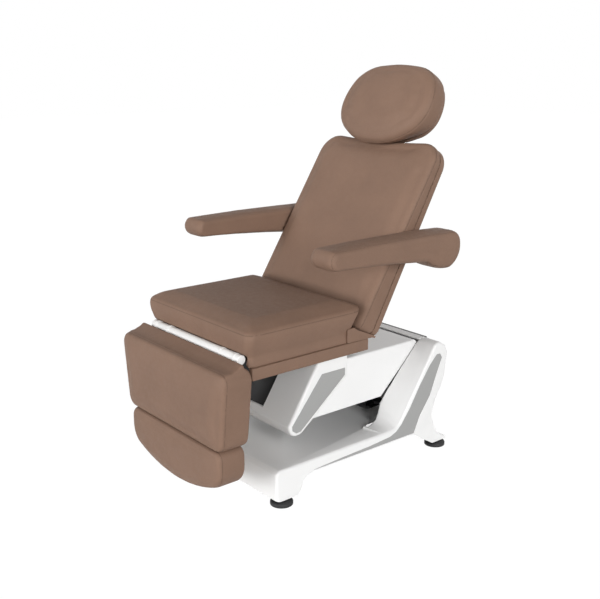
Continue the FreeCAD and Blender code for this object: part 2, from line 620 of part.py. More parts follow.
panel = [(359.5, 397.4), (465.4, 397.4), (465.4, 371.4), (321.7, 257.6), (265.8, 213.5), (246.2, 211.6),
         (229.6, 223.4), (228.7, 239.8)]
panel_line = [("link_front_y + %g" % (y - 320), "link_low_z + %g" % (z - 278)) for y, z in panel]
node("nose_inset_left", prism("nose_inset_left", panel_line, "0.4 - nose_half", "inset_deep - 0.4"))
node("nose_inset_right", prism("nose_inset_right", panel_line, "nose_half - inset_deep", "inset_deep - 0.4"))

# Seat cushion

side_half = d.seat_width / 2
tall = d.seat_top_z - d.seat_low_z
wires = []
for share, less, front, back in ((0, 10, 2, 446), (0.25, 17, 5, 446), (0.56, 2, -4, 452), (0.76, -4, -6, 464),
                                 (0.9, 0, -3, 477), (0.96, 9, 6, 479), (0.985, 24, 22, 470), (1.0, 90, 100, 400)):
    rim = round_box(-side_half + less, side_half - less, front, back, d.seat_corner)
    height = d.seat_low_z + tall * share
    wires.append(lift(rim, lambda x, y, z=height: Vector(x, y, z)))
seat = loft(wires)
seat = seat.cut(Part.makeBox(2 * d.hinge_bar_half + 10, 86, 80,
                             Vector(-d.hinge_bar_half - 5, -20, d.leg_hinge_z + d.hinge_bar_radius + 4.5 - 80)))
node("seat_cushion", solid("seat_cushion", seat))

# Back

slope = math.tan(math.radians(d.back_wedge))


def back_rim(less):
    """The back's outline seen from the front, with a dip in its top edge."""
    wide, low, high = d.back_half - less, -d.back_low + less, d.back_high - less
    turn = max(d.shoulder - less, 8)
    dip = high - d.back_dip
    foot = 24
    a = corner(wide - foot, low + foot, foot, 270)
    b = corner(wide - turn, high - turn, turn, 0)
    c = corner(-wide + turn, high - turn, turn, 90)
    e = corner(-wide + foot, low + foot, foot, 180)
    return [a, (a[2], b[0]), b, (b[2], (0, dip), c[0]), c, (c[2], e[0]), e, (e[2], a[0])]


tray_front = d.back_rear - d.tray_deep
wires = [lift(back_rim(4), lambda x, z: Vector(x, tray_front, z)),
         lift(back_rim(3), lambda x, z: Vector(x, d.back_rear - 9, z)),
         lift(back_rim(7), lambda x, z: Vector(x, d.back_rear - 3, z)),
         lift(back_rim(13), lambda x, z: Vector(x, d.back_rear, z))]
tray = loft(wires)
tray = tray.cut(loft([lift(back_rim(14), lambda x, z: Vector(x, tray_front - 1, z)),
                      lift(back_rim(14), lambda x, z: Vector(x, d.back_rear - 4, z))]))
notch = Part.makeBox(430, 120, d.back_low + 35, Vector(-215, tray_front - 14, -d.back_low - 5))
tray = tray.cut(notch)
tray = tray.cut(Part.makeCylinder(d.arm_pin + d.pass_clear, 700, Vector(-350, 0, d.arm_pivot), Vector(1, 0, 0)))
for sign in (-1, 1):
    tray = tray.cut(Part.makeCylinder(10.5, 120, Vector(sign * d.post_x, d.post_y, d.back_high - 60)))
on_back("back_cover", solid("back_cover", tray))


def front_plane(rise):
    return lambda x, z: Vector(x, -d.back_front + z * slope + rise, z)


wires = [lift(back_rim(6), lambda x, z: Vector(x, tray_front - 0.2, z)),
         lift(back_rim(0), lambda x, z: Vector(x, tray_front - 10, z)),
         lift(back_rim(0), front_plane(18)), lift(back_rim(5), front_plane(7)),
         lift(back_rim(16), front_plane(1.5)), lift(back_rim(60), front_plane(-2))]
cushion = loft(wires).cut(notch)
for sign in (-1, 1):
    cushion = cushion.cut(Part.makeCylinder(10.5, 240, Vector(sign * d.post_x, d.post_y, d.back_high - 230)))
on_back("back_cushion", solid("back_cushion", cushion))

frame_parts = []
for side, start in (("left", "-178"), ("right", "166")):
    frame_parts.append(box("back_arm_" + side, start, "-10", "0", "12", "22", "back_high - 185"))
    frame_parts.append(rod("back_arm_eye_" + side, "X", start, "0", "0", "18", "12"))
for i, at in enumerate(("34", "arm_pivot - 60", "back_high - 215")):
    frame_parts.append(box("back_bar_%d" % i, "-170", "-8", at, "340", "10", "30"))
frame_parts.append(rod("arm_tube", "X", "-back_half + 16", "0", "arm_pivot", "11.5", "2*back_half - 32"))
for side, sign in (("left", "-"), ("right", "")):
    frame_parts.append(rod("post_guide_" + side, "Z", "%spost_x" % sign, "post_y", "back_high - 220", "post_radius + 3",
                           "212 - back_dip"))
crank = box("back_crank_arm", "-4", "-19", "-103", "8", "38", "103 + 10")
crank_slot = box("back_crank_slot", "-5", "-(crank_pin + back_play)", "-96", "10", "2*(crank_pin + back_play)",
                 "96 - (back_hinge_z - rod_z) + 8")
crank = cut("back_crank", crank, crank_slot)
crank.Placement = Placement(Vector(), Rotation(Vector(1, 0, 0), 1))
bind(crank, "Placement.Rotation.Angle", "back_lean + back_crank")
locate(crank, "rod_x", "0", "0")
crank_web = box("back_crank_web", "rod_x - 4", "-11", "4", "8", "20", "48")
frame_parts.extend([crank, crank_web])
holes = [rod("back_bore", "X", "-200", "0", "0", "shaft_radius + run_clear", "400"),
         rod("arm_tube_bore", "X", "-400", "0", "arm_pivot", "arm_pin + 0.02", "800")]
for side, sign in (("left", "-"), ("right", "")):
    holes.append(rod("post_bore_" + side, "Z", "%spost_x" % sign, "post_y", "back_high - 225", "post_radius + run_clear",
                     "300"))
on_back("back_frame", cut("back_frame", fuse("back_frame_welded", *frame_parts), *holes))
pins = []
for side, start, collar in (("left", "-(arm_x + 18)", "-(arm_x + 16)"),
                            ("right", "arm_x - 46", "arm_x + 10.4")):
    pin = rod("arm_pin_" + side, "X", start, "0", "arm_pivot", "arm_pin", "64")
    pins.append(fuse("arm_pin_whole_" + side, pin,
                     rod("arm_collar_" + side, "X", collar, "0", "arm_pivot", "arm_pin + 5", "5.6")))
on_back("armrest_pins", fuse("armrest_pins", *pins))

# Headrest


def head_rim(less, tuck=0):
    """The pillow's egg-shaped outline seen from the front, its lower end raised by tuck."""
    wide, tall_half = d.head_half, d.head_tall / 2
    centre = d.head_low + tall_half
    points = ((0, -160), (84, -151), (150, -120), (200, -76), (219, -24), (214, 46), (192, 98), (150, 134),
              (84, 154), (0, 160))
    sx, sz = (wide - less) / 219, (tall_half - less) / 160
    right = [(x * sx, centre + z * sz + tuck * (min(z, 0) / 160) ** 2) for x, z in points]
    left = [(-x, z) for x, z in right]
    runs = [(right[0], right[1], right[2]), (right[2], right[3], right[4]), (right[4], right[5], right[6]),
            (right[6], right[7], right[8]), (right[8], right[9], left[8]), (left[8], left[7], left[6]),
            (left[6], left[5], left[4]), (left[4], left[3], left[2]), (left[2], left[1], left[0])]
    return runs


def flat(y):
    return lambda x, z: Vector(x, y, z)


split = d.post_y - d.post_radius - 5
wires = [lift(head_rim(9, d.head_tuck), flat(split)), lift(head_rim(0, d.head_tuck), flat(split - 14)),
         lift(head_rim(0), flat(-d.head_front + 36)), lift(head_rim(9), flat(-d.head_front + 16)),
         lift(head_rim(26), flat(-d.head_front + 5)), lift(head_rim(80), flat(-d.head_front))]
on_back("headrest_cushion", solid("headrest_cushion", loft(wires)))
wires = [lift(head_rim(11, d.head_tuck), flat(split + 0.2)), lift(head_rim(14, d.head_tuck), flat(d.head_rear - 7)),
         lift(head_rim(28, d.head_tuck), flat(d.head_rear))]
board = loft(wires)
for sign in (-1, 1):
    board = board.cut(Part.makeCylinder(d.post_radius + 0.02, 160, Vector(sign * d.post_x, d.post_y, d.head_low - 20)))
on_back("headrest_board", solid("headrest_board", board))
on_back("headrest_posts", fuse("headrest_posts",
        rod("post_left", "Z", "-post_x", "post_y", "back_high - 175", "post_radius", "head_low - back_high + 315"),
        rod("post_right", "Z", "post_x", "post_y", "back_high - 175", "post_radius", "head_low - back_high + 315")))

# Armrests

lean = math.radians(d.back_lean)
pin_y = d.back_hinge_y + d.arm_pivot * math.sin(lean)
pin_z = d.back_hinge_z + d.arm_pivot * math.cos(lean)


def arm_rim(less):
    """An armrest seen from the side."""
    def place(y, z):
        y = d.arm_front_y + (y - 225) * (d.arm_rear_y - d.arm_front_y) / 603
        z = d.arm_top_z + (z - 873) * d.arm_tall / 68
        middle_y, middle_z = (d.arm_front_y + d.arm_rear_y) / 2, d.arm_top_z - d.arm_tall * 0.72
        return (middle_y + (y - middle_y) * (1 - less / 300), middle_z + (z - middle_z) * (1 - less / 46))
    runs = (((244, 869), (500, 873), (788, 870)), ((788, 870), (818, 857), (829, 826)),
            ((829, 826), (819, 770), (780, 738)), ((780, 738), (722, 746), (664, 774)),
            ((664, 774), (450, 794), (246, 804)), ((246, 804), (226, 836), (244, 869)))
    return [tuple(place(y, z) for y, z in run) for run in runs]


for side, sign in (("left", -1), ("right", 1)):
    inner = d.arm_x + 10
    wires = [lift(arm_rim(less), lambda y, z, x=sign * at: Vector(x, y, z)) for at, less in (
        (inner + 0.2, 9), (inner + 9, 1), (inner + 30, 0), (d.arm_outer - 30, 0), (d.arm_outer - 12, 2.5),
        (d.arm_outer - 4, 8), (d.arm_outer, 17))]
    pad = loft(wires)
    pad = pad.cut(Part.makeCylinder(d.arm_pin + 7, 12, Vector(sign * (inner - 1), pin_y, pin_z),
                                    Vector(sign, 0, 0)))
    node("armrest_pad_" + side, solid("armrest_pad_" + side, pad))
    start = "arm_x" if sign > 0 else "-(arm_x + 10)"
    pivot_y = "back_hinge_y + arm_pivot*sin(back_lean*1 deg)"
    pivot_z = "back_hinge_z + arm_pivot*cos(back_lean*1 deg)"
    core = fuse("armrest_core_whole_" + side,
                box("armrest_bar_" + side, start, "arm_front_y + 90", "(%s) - 2" % pivot_z, "10",
                    "(%s) - arm_front_y - 90" % pivot_y, "30"),
                rod("armrest_disc_" + side, "X", start, pivot_y, pivot_z, "28", "10"))
    node("armrest_core_" + side, cut("armrest_core_" + side, core,
         rod("armrest_bore_" + side, "X", "(%s) - 1" % start, pivot_y, pivot_z, "arm_pin + run_clear", "12")))

# Leg cushion


def leg_rim(less):
    """The leg cushion seen from the front, wider at its top."""
    top, low = d.leg_top_z - less, d.leg_low_z + less
    wide, narrow = d.leg_half - less, d.leg_half_low - less
    a = corner(narrow - 38, low + 38, 38, 270)
    b = corner(wide - 32, top - 32, 32, 0)
    c = corner(-wide + 32, top - 32, 32, 90)
    e = corner(-narrow + 38, low + 38, 38, 180)
    return [a, (a[2], b[0]), b, (b[2], c[0]), c, (c[2], e[0]), e, (e[2], a[0])]


wires = [lift(leg_rim(less), flat(at)) for at, less in (
    (d.leg_rear, 7), (d.leg_rear - 8, 0), (-d.leg_front + 18, 0), (-d.leg_front + 7, 3), (-d.leg_front + 2, 12),
    (-d.leg_front - 2, 60))]
leg_pocket = Part.makeBox(2 * d.leg_half_low - 40, 60, d.leg_top_z - d.leg_low_z,
                          Vector(20 - d.leg_half_low, 1.8 - d.board_thick, d.leg_low_z + 20))
leg = loft(wires).cut(leg_pocket)
for sign in (-1, 1):
    leg = leg.cut(Part.makeBox(30, 60, 60, Vector(sign * d.slide_x - 15, 1.8 - d.board_thick, d.leg_low_z - 20)))
node("leg_cushion", solid("leg_cushion", leg))
node("leg_board", box("leg_board", "0", "0", "0", "2*(leg_half_low - 22)", "board_thick",
                      "leg_top_z - leg_low_z - 33"),
     "22 - leg_half_low", "2 - board_thick - centre_y", "leg_low_z + 22")

frame_parts = []
for side, start in (("left", "-(leg_arm_x + 10)"), ("right", "leg_arm_x")):
    frame_parts.append(box("leg_arm_" + side, start, "2", "leg_low_z + 40", "10", "20",
                           "leg_hinge_z - leg_low_z - 40"))
    frame_parts.append(rod("leg_arm_eye_" + side, "X", start, "0", "leg_hinge_z", "hinge_bar_radius + 3.5", "10"))
for i, at in enumerate(("leg_low_z + 50", "leg_hinge_z - 55")):
    frame_parts.append(box("leg_bar_%d" % i, "-(leg_arm_x + 5)", "2", at, "2*(leg_arm_x + 5)", "12", "32"))
for side, sign in (("left", "-"), ("right", "")):
    frame_parts.append(rod("slide_guide_" + side, "Z", "%sslide_x" % sign, "slide_y", "leg_low_z + 14",
                           "slide_radius + 2.9", "170"))
crank = box("leg_crank_arm", "-4", "-17", "-101", "8", "34", "101 - 16")
crank_slot = box("leg_crank_slot", "-5", "-(crank_pin + leg_play)", "-94", "10", "2*(crank_pin + leg_play)",
                 "94 - (leg_hinge_z - rod_z) + 9")
crank = cut("leg_crank", crank, crank_slot)
crank.Placement = Placement(Vector(), Rotation(Vector(1, 0, 0), 1))
bind(crank, "Placement.Rotation.Angle", "leg_crank")
locate(crank, "-rod_x", "0", "leg_hinge_z")
frame_parts.append(crank)
holes = [rod("leg_bore", "X", "-400", "0", "leg_hinge_z", "hinge_bar_radius + run_clear", "800")]
for side, sign in (("left", "-"), ("right", "")):
    holes.append(rod("slide_bore_" + side, "Z", "%sslide_x" % sign, "slide_y", "leg_low_z", "slide_radius + run_clear",
                     "240"))
node("leg_frame", cut("leg_frame", fuse("leg_frame_welded", *frame_parts), *holes))

# Foot cushion


def foot_rim(less):
    """The foot cushion seen from the front: flat top and boat-shaped lower edge."""
    wide = (d.foot_half - less) / 268
    top, low = d.foot_top_z - less, d.foot_low_z + less

    def place(x, z):
        return (x * wide, low + (z - 74) * (top - low) / 176)
    runs = (((-238, 124), (0, 74), (238, 124)), ((238, 124), (260, 150), (268, 190)), ((268, 190), (268, 222)),
            ((268, 222), (260, 242), (240, 250)), ((240, 250), (-240, 250)), ((-240, 250), (-260, 242), (-268, 222)),
            ((-268, 222), (-268, 190)), ((-268, 190), (-260, 150), (-238, 124)))
    return [tuple(place(x, z) for x, z in run) for run in runs]


wires = [lift(foot_rim(less), flat(at)) for at, less in (
    (d.foot_rear, 7), (d.foot_rear - 8, 0), (-d.foot_front + 18, 0), (-d.foot_front + 7, 3),
    (-d.foot_front + 2, 11), (-d.foot_front - 2, 34))]
foot_pocket = Part.makeBox(2 * d.foot_half - 84, 40, d.foot_top_z - d.foot_low_z - 68,
                           Vector(42 - d.foot_half, -0.2 - d.board_thick, d.foot_low_z + 58))
node("foot_cushion", solid("foot_cushion", loft(wires).cut(foot_pocket)))
node("foot_board", box("foot_board", "0", "0", "0", "2*(foot_half - 44)", "board_thick",
                       "foot_top_z - foot_low_z - 72"),
     "44 - foot_half", "-board_thick - centre_y", "foot_low_z + 62")
rails = []
for side, sign in (("left", "-"), ("right", "")):
    rails.append(rod("slide_rod_" + side, "Z", "%sslide_x" % sign, "slide_y", "foot_low_z + 72", "slide_radius",
                     "leg_low_z - foot_low_z + 98"))
    rails.append(box("slide_block_" + side, "%sslide_x - 16" % sign, "0", "foot_low_z + 76", "32", "24", "50"))
node("foot_rails", fuse("foot_rails", *rails))

# Drives

reach = "sqrt((drive_y - cross_y)^2 + (drive_eye_z - drive_z)^2)"
tilt = "-atan2(drive_eye_z - drive_z; drive_y - cross_y)"


def at_drive(label, obj):
    return node(label, obj, "0", "drive_y - centre_y", "drive_z", tilt)


motor = fuse("lift_motor_whole",
             rod("lift_motor_eye", "X", "-15", "0", "0", "16", "30"),
             rod("lift_motor_can", "Y", "0", "-112", "0", "motor_radius", "102"),
             rod("lift_motor_tube", "Y", "0", "-240", "0", "18", "130"))
motor = cut("lift_motor_bored", motor,
            rod("lift_motor_bore", "Y", "0", "-241", "0", "12 + run_clear", "127"),
            rod("lift_motor_hole", "X", "-20", "0", "0", "drive_pin + run_clear", "40"))
at_drive("lift_motor", motor)
lift_rod = fuse("lift_rod_whole",
                rod("lift_rod_bar", "Y", "0", "-(%s) + 8" % reach, "0", "12", "(%s) - 133" % reach),
                rod("lift_rod_eye", "X", "-13", "-(%s)" % reach, "0", "15", "26"),
                rod("lift_rod_pin", "X", "-27", "-(%s)" % reach, "0", "7", "54"))
at_drive("lift_rod", lift_rod)

leg_pin = "(leg_hinge_z - rod_z)*tan(leg_crank*1 deg)"
back_pin = "(back_hinge_y + (back_hinge_z - rod_z)*tan(back_crank*1 deg))"


def drive(name, x, can, pipe, first, last):
    """A motor with its tube, open where the rod enters."""
    whole = fuse(name + "_whole", rod(name + "_can", "Y", x, can, "rod_z", "barrel_radius", "120"),
                 rod(name + "_pipe", "Y", x, pipe, "rod_z", "16", "182"))
    return cut(name, whole, rod(name + "_bore", "Y", x, first, "rod_z", "rod_radius + run_clear", last))


node("leg_motor", drive("leg_motor", "-rod_x", "300", "130", "129", "170"))
node("back_motor", drive("back_motor", "rod_x", "100", "218", "221", "180"))


def fork(name, x, low, pin, bar_start, bar_long):
    """A drive rod with a fork and a cross pin at its end."""
    block = box(name + "_block", "(%s) - 14" % x, low, "rod_z - 13", "28", "66", "26")
    bar_part = rod(name + "_bar", "Y", x, bar_start, "rod_z", "rod_radius", bar_long)
    gap_low = "(%s) - 1" % low if x.startswith("-") else "(%s) + 8" % low
    gap = box(name + "_gap", "(%s) - 4.6" % x, gap_low, "rod_z - 20", "9.2", "59", "40")
    pin_part = rod(name + "_pin", "X", "(%s) - 15" % x, pin, "rod_z", "crank_pin", "30")
    return fuse(name, cut(name + "_forked", fuse(name + "_solid", block, bar_part), gap), pin_part)


node("leg_rod", fork("leg_rod", "-rod_x", leg_pin + " - 15", leg_pin, leg_pin + " + 45", "292 - 45 - " + leg_pin))
node("back_rod", fork("back_rod", "rod_x", back_pin + " - 51", back_pin, "310", back_pin + " - 46 - 310"))

# Check and write

DOC.recompute()
wrong = []
for obj in DOC.Objects:
    if "Invalid" in obj.State or "Error" in obj.State:
        wrong.append("%s %s" % (obj.Label, obj.State))
for label, obj in NODES:
    if obj.Shape.isNull() or not obj.Shape.isValid() or not obj.Shape.Solids:
        wrong.append("%s shape" % label)
if wrong:
    raise RuntimeError("; ".join(wrong))
os.makedirs("parts", exist_ok=True)
for label, obj in NODES:
    obj.Shape.exportStep(os.path.join("parts", label + ".step"))
whole = FreeCAD.BoundBox()
for label, obj in NODES:
    whole.add(obj.Shape.BoundBox)
print("nodes", len(NODES), "box", whole)
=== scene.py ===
"""Beauty treatment chair: upholstery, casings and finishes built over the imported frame."""

from __future__ import annotations

import json
import logging
from contextlib import contextmanager
from dataclasses import dataclass, field
from enum import Enum
from typing import Callable, Dict, Iterator, List, Optional, Sequence, Tuple

import bpy
import numpy as np
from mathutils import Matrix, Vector

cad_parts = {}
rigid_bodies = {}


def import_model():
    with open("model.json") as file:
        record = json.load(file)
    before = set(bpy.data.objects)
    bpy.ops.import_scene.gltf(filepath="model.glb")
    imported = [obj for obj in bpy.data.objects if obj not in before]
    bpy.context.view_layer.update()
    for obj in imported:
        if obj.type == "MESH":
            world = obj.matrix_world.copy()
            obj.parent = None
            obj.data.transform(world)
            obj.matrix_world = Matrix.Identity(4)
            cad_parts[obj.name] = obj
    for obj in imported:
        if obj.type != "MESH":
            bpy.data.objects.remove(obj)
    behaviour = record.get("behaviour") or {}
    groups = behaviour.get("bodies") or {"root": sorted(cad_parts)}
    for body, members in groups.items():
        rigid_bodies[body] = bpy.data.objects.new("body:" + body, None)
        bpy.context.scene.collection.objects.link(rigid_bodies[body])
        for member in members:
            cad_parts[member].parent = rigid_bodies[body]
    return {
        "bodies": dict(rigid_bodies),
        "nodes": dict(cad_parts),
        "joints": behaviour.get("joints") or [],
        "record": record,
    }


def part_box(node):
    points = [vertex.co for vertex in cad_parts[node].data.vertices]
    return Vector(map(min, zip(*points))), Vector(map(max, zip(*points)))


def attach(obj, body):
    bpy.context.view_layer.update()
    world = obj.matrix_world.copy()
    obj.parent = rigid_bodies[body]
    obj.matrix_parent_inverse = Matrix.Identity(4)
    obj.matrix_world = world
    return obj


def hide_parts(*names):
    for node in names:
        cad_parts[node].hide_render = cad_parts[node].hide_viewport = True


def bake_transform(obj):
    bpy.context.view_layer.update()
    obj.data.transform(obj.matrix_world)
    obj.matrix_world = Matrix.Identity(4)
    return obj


LOG = logging.getLogger("treatment_chair")
Point = Tuple[float, float]
Outline = Sequence[Point]
Triple = Tuple[float, float, float]
Colour = Triple
Box = Tuple[Triple, Triple]
Array = np.ndarray
Piece = bpy.types.Object
Socket = bpy.types.NodeSocket
Test = Callable[[Vector, Vector], bool]
# Millimetres from the leg hinge back to the middle of the chair
MIDDLE_Y = 445.475
SIDES = (("left", -1), ("right", 1))
UPRIGHT = np.eye(3)
WHITE = (1, 1, 1, 1)


def side_line(points: Outline) -> List[Point]:
    """A side outline, from millimetres behind the leg hinge to metres behind the chair's middle."""
    return [((y - MIDDLE_Y) / 1000, z / 1000) for y, z in points]


class Slot(Enum):
    """The record's material slots."""

    UPHOLSTERY = "brown_upholstery"
    SHELL = "white_shell"
    INSET = "grey_inset"
    FRAME = "dark_frame"
    STEEL = "bright_steel"
    BAR = "white_bar"
    RUBBER = "black_rubber"
    BOARD = "plywood"
    PLASTIC = "black_plastic"
    CHROME = "chrome_rod"


class Join(Enum):
    """How a second solid works on a first one."""

    ADD = "UNION"
    CUT = "DIFFERENCE"


class Bench:
    """The modelling bench: selections, edit sessions and modifiers on one object at a time."""

    @staticmethod
    def take(obj: Piece) -> None:
        """Select one object alone and make it active."""
        bpy.ops.object.select_all(action="DESELECT")
        obj.select_set(True)
        bpy.context.view_layer.objects.active = obj

    @staticmethod
    @contextmanager
    def editing(obj: Piece, mode: str = "FACE", whole: bool = False) -> Iterator[None]:
        """Hold an object in edit mode.

        Args:
            obj: The mesh object to edit.
            mode: Element type that selections work on.
            whole: Whether everything is selected first.

        Returns:
            A context that leaves edit mode at its end.
        """
        Bench.take(obj)
        bpy.ops.object.mode_set(mode="EDIT")
        bpy.ops.mesh.select_mode(type=mode)
        if whole:
            bpy.ops.mesh.select_all(action="SELECT")
        yield
        bpy.ops.object.mode_set(mode="OBJECT")

    @staticmethod
    def mark(obj: Piece, test: Test) -> None:
        """Select faces by their place and normal.

        Args:
            obj: The mesh object, in object mode.
            test: Says from a face's centre and normal whether it is selected.
        """
        mesh = obj.data
        mesh.vertices.foreach_set("select", [False] * len(mesh.vertices))
        mesh.edges.foreach_set("select", [False] * len(mesh.edges))
        for face in mesh.polygons:
            face.select = test(face.center, face.normal)

    @staticmethod
    def points(obj: Piece) -> Array:
        """A mesh object's points, one row each."""
        values = np.empty(len(obj.data.vertices) * 3, np.float32)
        obj.data.vertices.foreach_get("co", values)
        return values.reshape(-1, 3)

    @staticmethod
    def outward(obj: Piece, distance: float = 1e-6) -> None:
        """Merge doubles and turn all faces outwards.

        Args:
            obj: The mesh object.
            distance: Points closer than this are merged.
        """
        with Bench.editing(obj, whole=True):
            bpy.ops.mesh.remove_doubles(threshold=distance)
            bpy.ops.mesh.normals_make_consistent(inside=False)

    @staticmethod
    def apply(obj: Piece, modifier: bpy.types.Modifier) -> None:
        """Apply one modifier to the mesh."""
        Bench.take(obj)
        bpy.ops.object.modifier_apply(modifier=modifier.name)

    @staticmethod
    def modify(obj: Piece, kind: str, **settings: object) -> None:
        """Add a modifier and apply it.

        Args:
            obj: The mesh object.
            kind: Type of the modifier.
            settings: Its settings by name.
        """
        modifier = obj.modifiers.new(kind.lower(), kind)
        for name, value in settings.items():
            setattr(modifier, name, value)
        Bench.apply(obj, modifier)

    @staticmethod
    def slab(name: str, outline: Outline, start: float, end: float,
             far: Optional[Outline] = None) -> Piece:
        """Extrude a side outline across the chair.

        Args:
            name: Name of the new object.
            outline: Y and Z pairs in metres.
            start: X of the first end face.
            end: X of the second end face.
            far: A second outline for the far end, as many points as the first.

        Returns:
            The closed solid.
        """
        bpy.ops.object.select_all(action="DESELECT")
        bpy.ops.mesh.primitive_circle_add(vertices=len(outline), radius=0.1, fill_type="NGON")
        obj = bpy.context.object
        obj.name = name
        obj.data.name = name
        for vertex, (y, z) in zip(obj.data.vertices, outline):
            vertex.co = (start, y, z)
        with Bench.editing(obj, whole=True):
            bpy.ops.mesh.extrude_region_move(TRANSFORM_OT_translate={"value": (end - start, 0, 0)})
        if far is not None:
            for vertex in obj.data.vertices:
                if abs(vertex.co.x - end) < 1e-6:
                    nearest = min(range(len(outline)), key=lambda i: (vertex.co.y - outline[i][0]) ** 2
                                  + (vertex.co.z - outline[i][1]) ** 2)
                    vertex.co = (end, far[nearest][0], far[nearest][1])
        Bench.outward(obj)
        return obj

    @staticmethod
    def cut_block(obj: Piece, box: Box) -> None:
        """Cut a block out of a solid.

        Args:
            obj: The solid.
            box: The block's lowest and highest corners in metres.
        """
        low, high = (Vector(corner) for corner in box)
        outline = [(low.y, low.z), (high.y, low.z), (high.y, high.z), (low.y, high.z)]
        Bench.combine(obj, Bench.slab("block", outline, low.x, high.x), Join.CUT)

    @staticmethod
    def combine(obj: Piece, tool: Piece, join: Join) -> None:
        """Add a second solid to a first one or cut it away from it. The second is used up."""
        Bench.modify(obj, "BOOLEAN", operation=join.value, solver="EXACT", object=tool)
        bpy.data.objects.remove(tool)

    @staticmethod
    def dissolve(obj: Piece, turn: float = 0.02) -> None:
        """Merge the faces that turn by less than an angle in radians."""
        with Bench.editing(obj, whole=True):
            bpy.ops.mesh.dissolve_limited(angle_limit=turn)

    @staticmethod
    def ease(obj: Piece, width: float, angle: float, segments: int = 4) -> None:
        """Round the edges that turn by more than an angle.

        Args:
            obj: The mesh object.
            width: Bevel width in metres.
            angle: Least turn in degrees.
            segments: Strips per rounded edge.
        """
        Bench.dissolve(obj)
        Bench.modify(obj, "BEVEL", width=width, segments=segments, limit_method="ANGLE",
                     angle_limit=np.radians(angle), use_clamp_overlap=False, miter_outer="MITER_ARC")

    @staticmethod
    def round_edges(obj: Piece, width: float, angle: float, segments: int, where: Test) -> None:
        """Round the sharp edges of one region.

        Args:
            obj: The mesh object.
            width: Bevel width in metres.
            angle: Least turn in degrees.
            segments: Strips per rounded edge.
            where: Says from an edge's two ends whether it is rounded.
        """
        mesh = obj.data
        beside: Dict[Tuple[int, int], List[Vector]] = {}
        for face in mesh.polygons:
            for key in face.edge_keys:
                beside.setdefault(key, []).append(face.normal.copy())
        Bench.mark(obj, lambda centre, way: False)
        for edge in mesh.edges:
            normals = beside.get(edge.key, [])
            first, second = (mesh.vertices[i].co for i in edge.vertices)
            sharp = len(normals) == 2 and normals[0].angle(normals[1], 0) > np.radians(angle)
            edge.select = bool(sharp and where(first, second))
        with Bench.editing(obj, "EDGE"):
            bpy.ops.mesh.bevel(offset=width, segments=segments, affect="EDGES", clamp_overlap=False,
                               miter_outer="ARC", profile=0.5)

    @staticmethod
    def reshape(obj: Piece, change: Callable[[Array], None]) -> None:
        """Move a piece's points.

        Args:
            obj: The piece.
            change: Changes an array of the piece's points in place.
        """
        points = Bench.points(obj)
        change(points)
        obj.data.vertices.foreach_set("co", points.ravel())
        obj.data.update()

    @staticmethod
    def seam(obj: Piece, point: Vector, normal: Vector, width: float = 0.0022,
             depth: float = 0.0022) -> None:
        """Sew a seam along a plane: a fine groove, noted in the mesh so that the leather draws it dark, as
        thread and as painted shade in the groove.

        Args:
            obj: The pad.
            point: A point of the plane.
            normal: Its normal.
            width: Half width of the groove in metres.
            depth: Depth of the groove in metres.
        """
        normal = Vector(normal).normalized()
        with Bench.editing(obj):
            for step in (-1, 1, 0):
                bpy.ops.mesh.select_all(action="SELECT")
                bpy.ops.mesh.bisect(plane_co=point + normal * width * step, plane_no=normal)
        mesh = obj.data
        off = np.abs((Bench.points(obj) - np.array(point, np.float32)) @ np.array(normal, np.float32))
        sewn = off < 1e-5
        Bench.mark(obj, lambda centre, way: False)
        mesh.vertices.foreach_set("select", sewn)
        with Bench.editing(obj, "VERT"):
            bpy.ops.transform.shrink_fatten(value=-depth)
        # The groove mask, which the leather darkens with thread colour and painted shade
        layer = mesh.attributes.get("seam") or mesh.attributes.new("seam", "FLOAT", "POINT")
        values = np.empty(len(mesh.vertices), np.float32)
        layer.data.foreach_get("value", values)
        layer.data.foreach_set("value", np.maximum(values, sewn.astype(np.float32)))

    @staticmethod
    def hollow(obj: Piece, wall: float, open_faces: Test) -> None:
        """Open a closed form and give its skin a wall, inwards.

        Args:
            obj: The closed form.
            wall: Wall thickness in metres.
            open_faces: Says which faces are taken away.
        """
        Bench.mark(obj, open_faces)
        with Bench.editing(obj):
            bpy.ops.mesh.delete(type="FACE")
        Bench.modify(obj, "SOLIDIFY", thickness=wall, offset=-1)

    @staticmethod
    def smooth(obj: Piece, angle: float = 40) -> None:
        """Shade smooth, with edges sharper than an angle in degrees kept."""
        Bench.take(obj)
        bpy.ops.object.shade_smooth_by_angle(angle=np.radians(angle))

    @staticmethod
    def copy(node: Piece, name: str) -> Piece:
        """A merged copy of a CAD node with a mesh of its own.

        Args:
            node: The node's object.
            name: Name of the copy.

        Returns:
            The copy, free of the frame.
        """
        mesh = node.data.copy()
        mesh.name = name
        mesh.materials.clear()
        obj = bpy.data.objects.new(name, mesh)
        bpy.context.scene.collection.objects.link(obj)
        with Bench.editing(obj, whole=True):
            bpy.ops.mesh.customdata_custom_splitnormals_clear()
            bpy.ops.mesh.remove_doubles(threshold=2e-5)
        return obj

    @staticmethod
    def cylinder(name: str, sides: int, radius: float, length: float, place: Triple,
                 turn: float = 0) -> Piece:
        """A cylinder, upright unless it is turned.

        Args:
            name: Name of the new object.
            sides: Sides of its circle.
            radius: Its radius.
            length: Its length.
            place: Its middle.
            turn: Turn about Y in radians.

        Returns:
            The cylinder, with its place in its mesh.
        """
        bpy.ops.object.select_all(action="DESELECT")
        bpy.ops.mesh.primitive_cylinder_add(vertices=sides, radius=radius, depth=length, location=place,
                                            rotation=(0, turn, 0))
        obj = bpy.context.object
        obj.name = name
        obj.data.name = name
        bpy.ops.object.transform_apply(location=True, rotation=True, scale=True)
        return obj

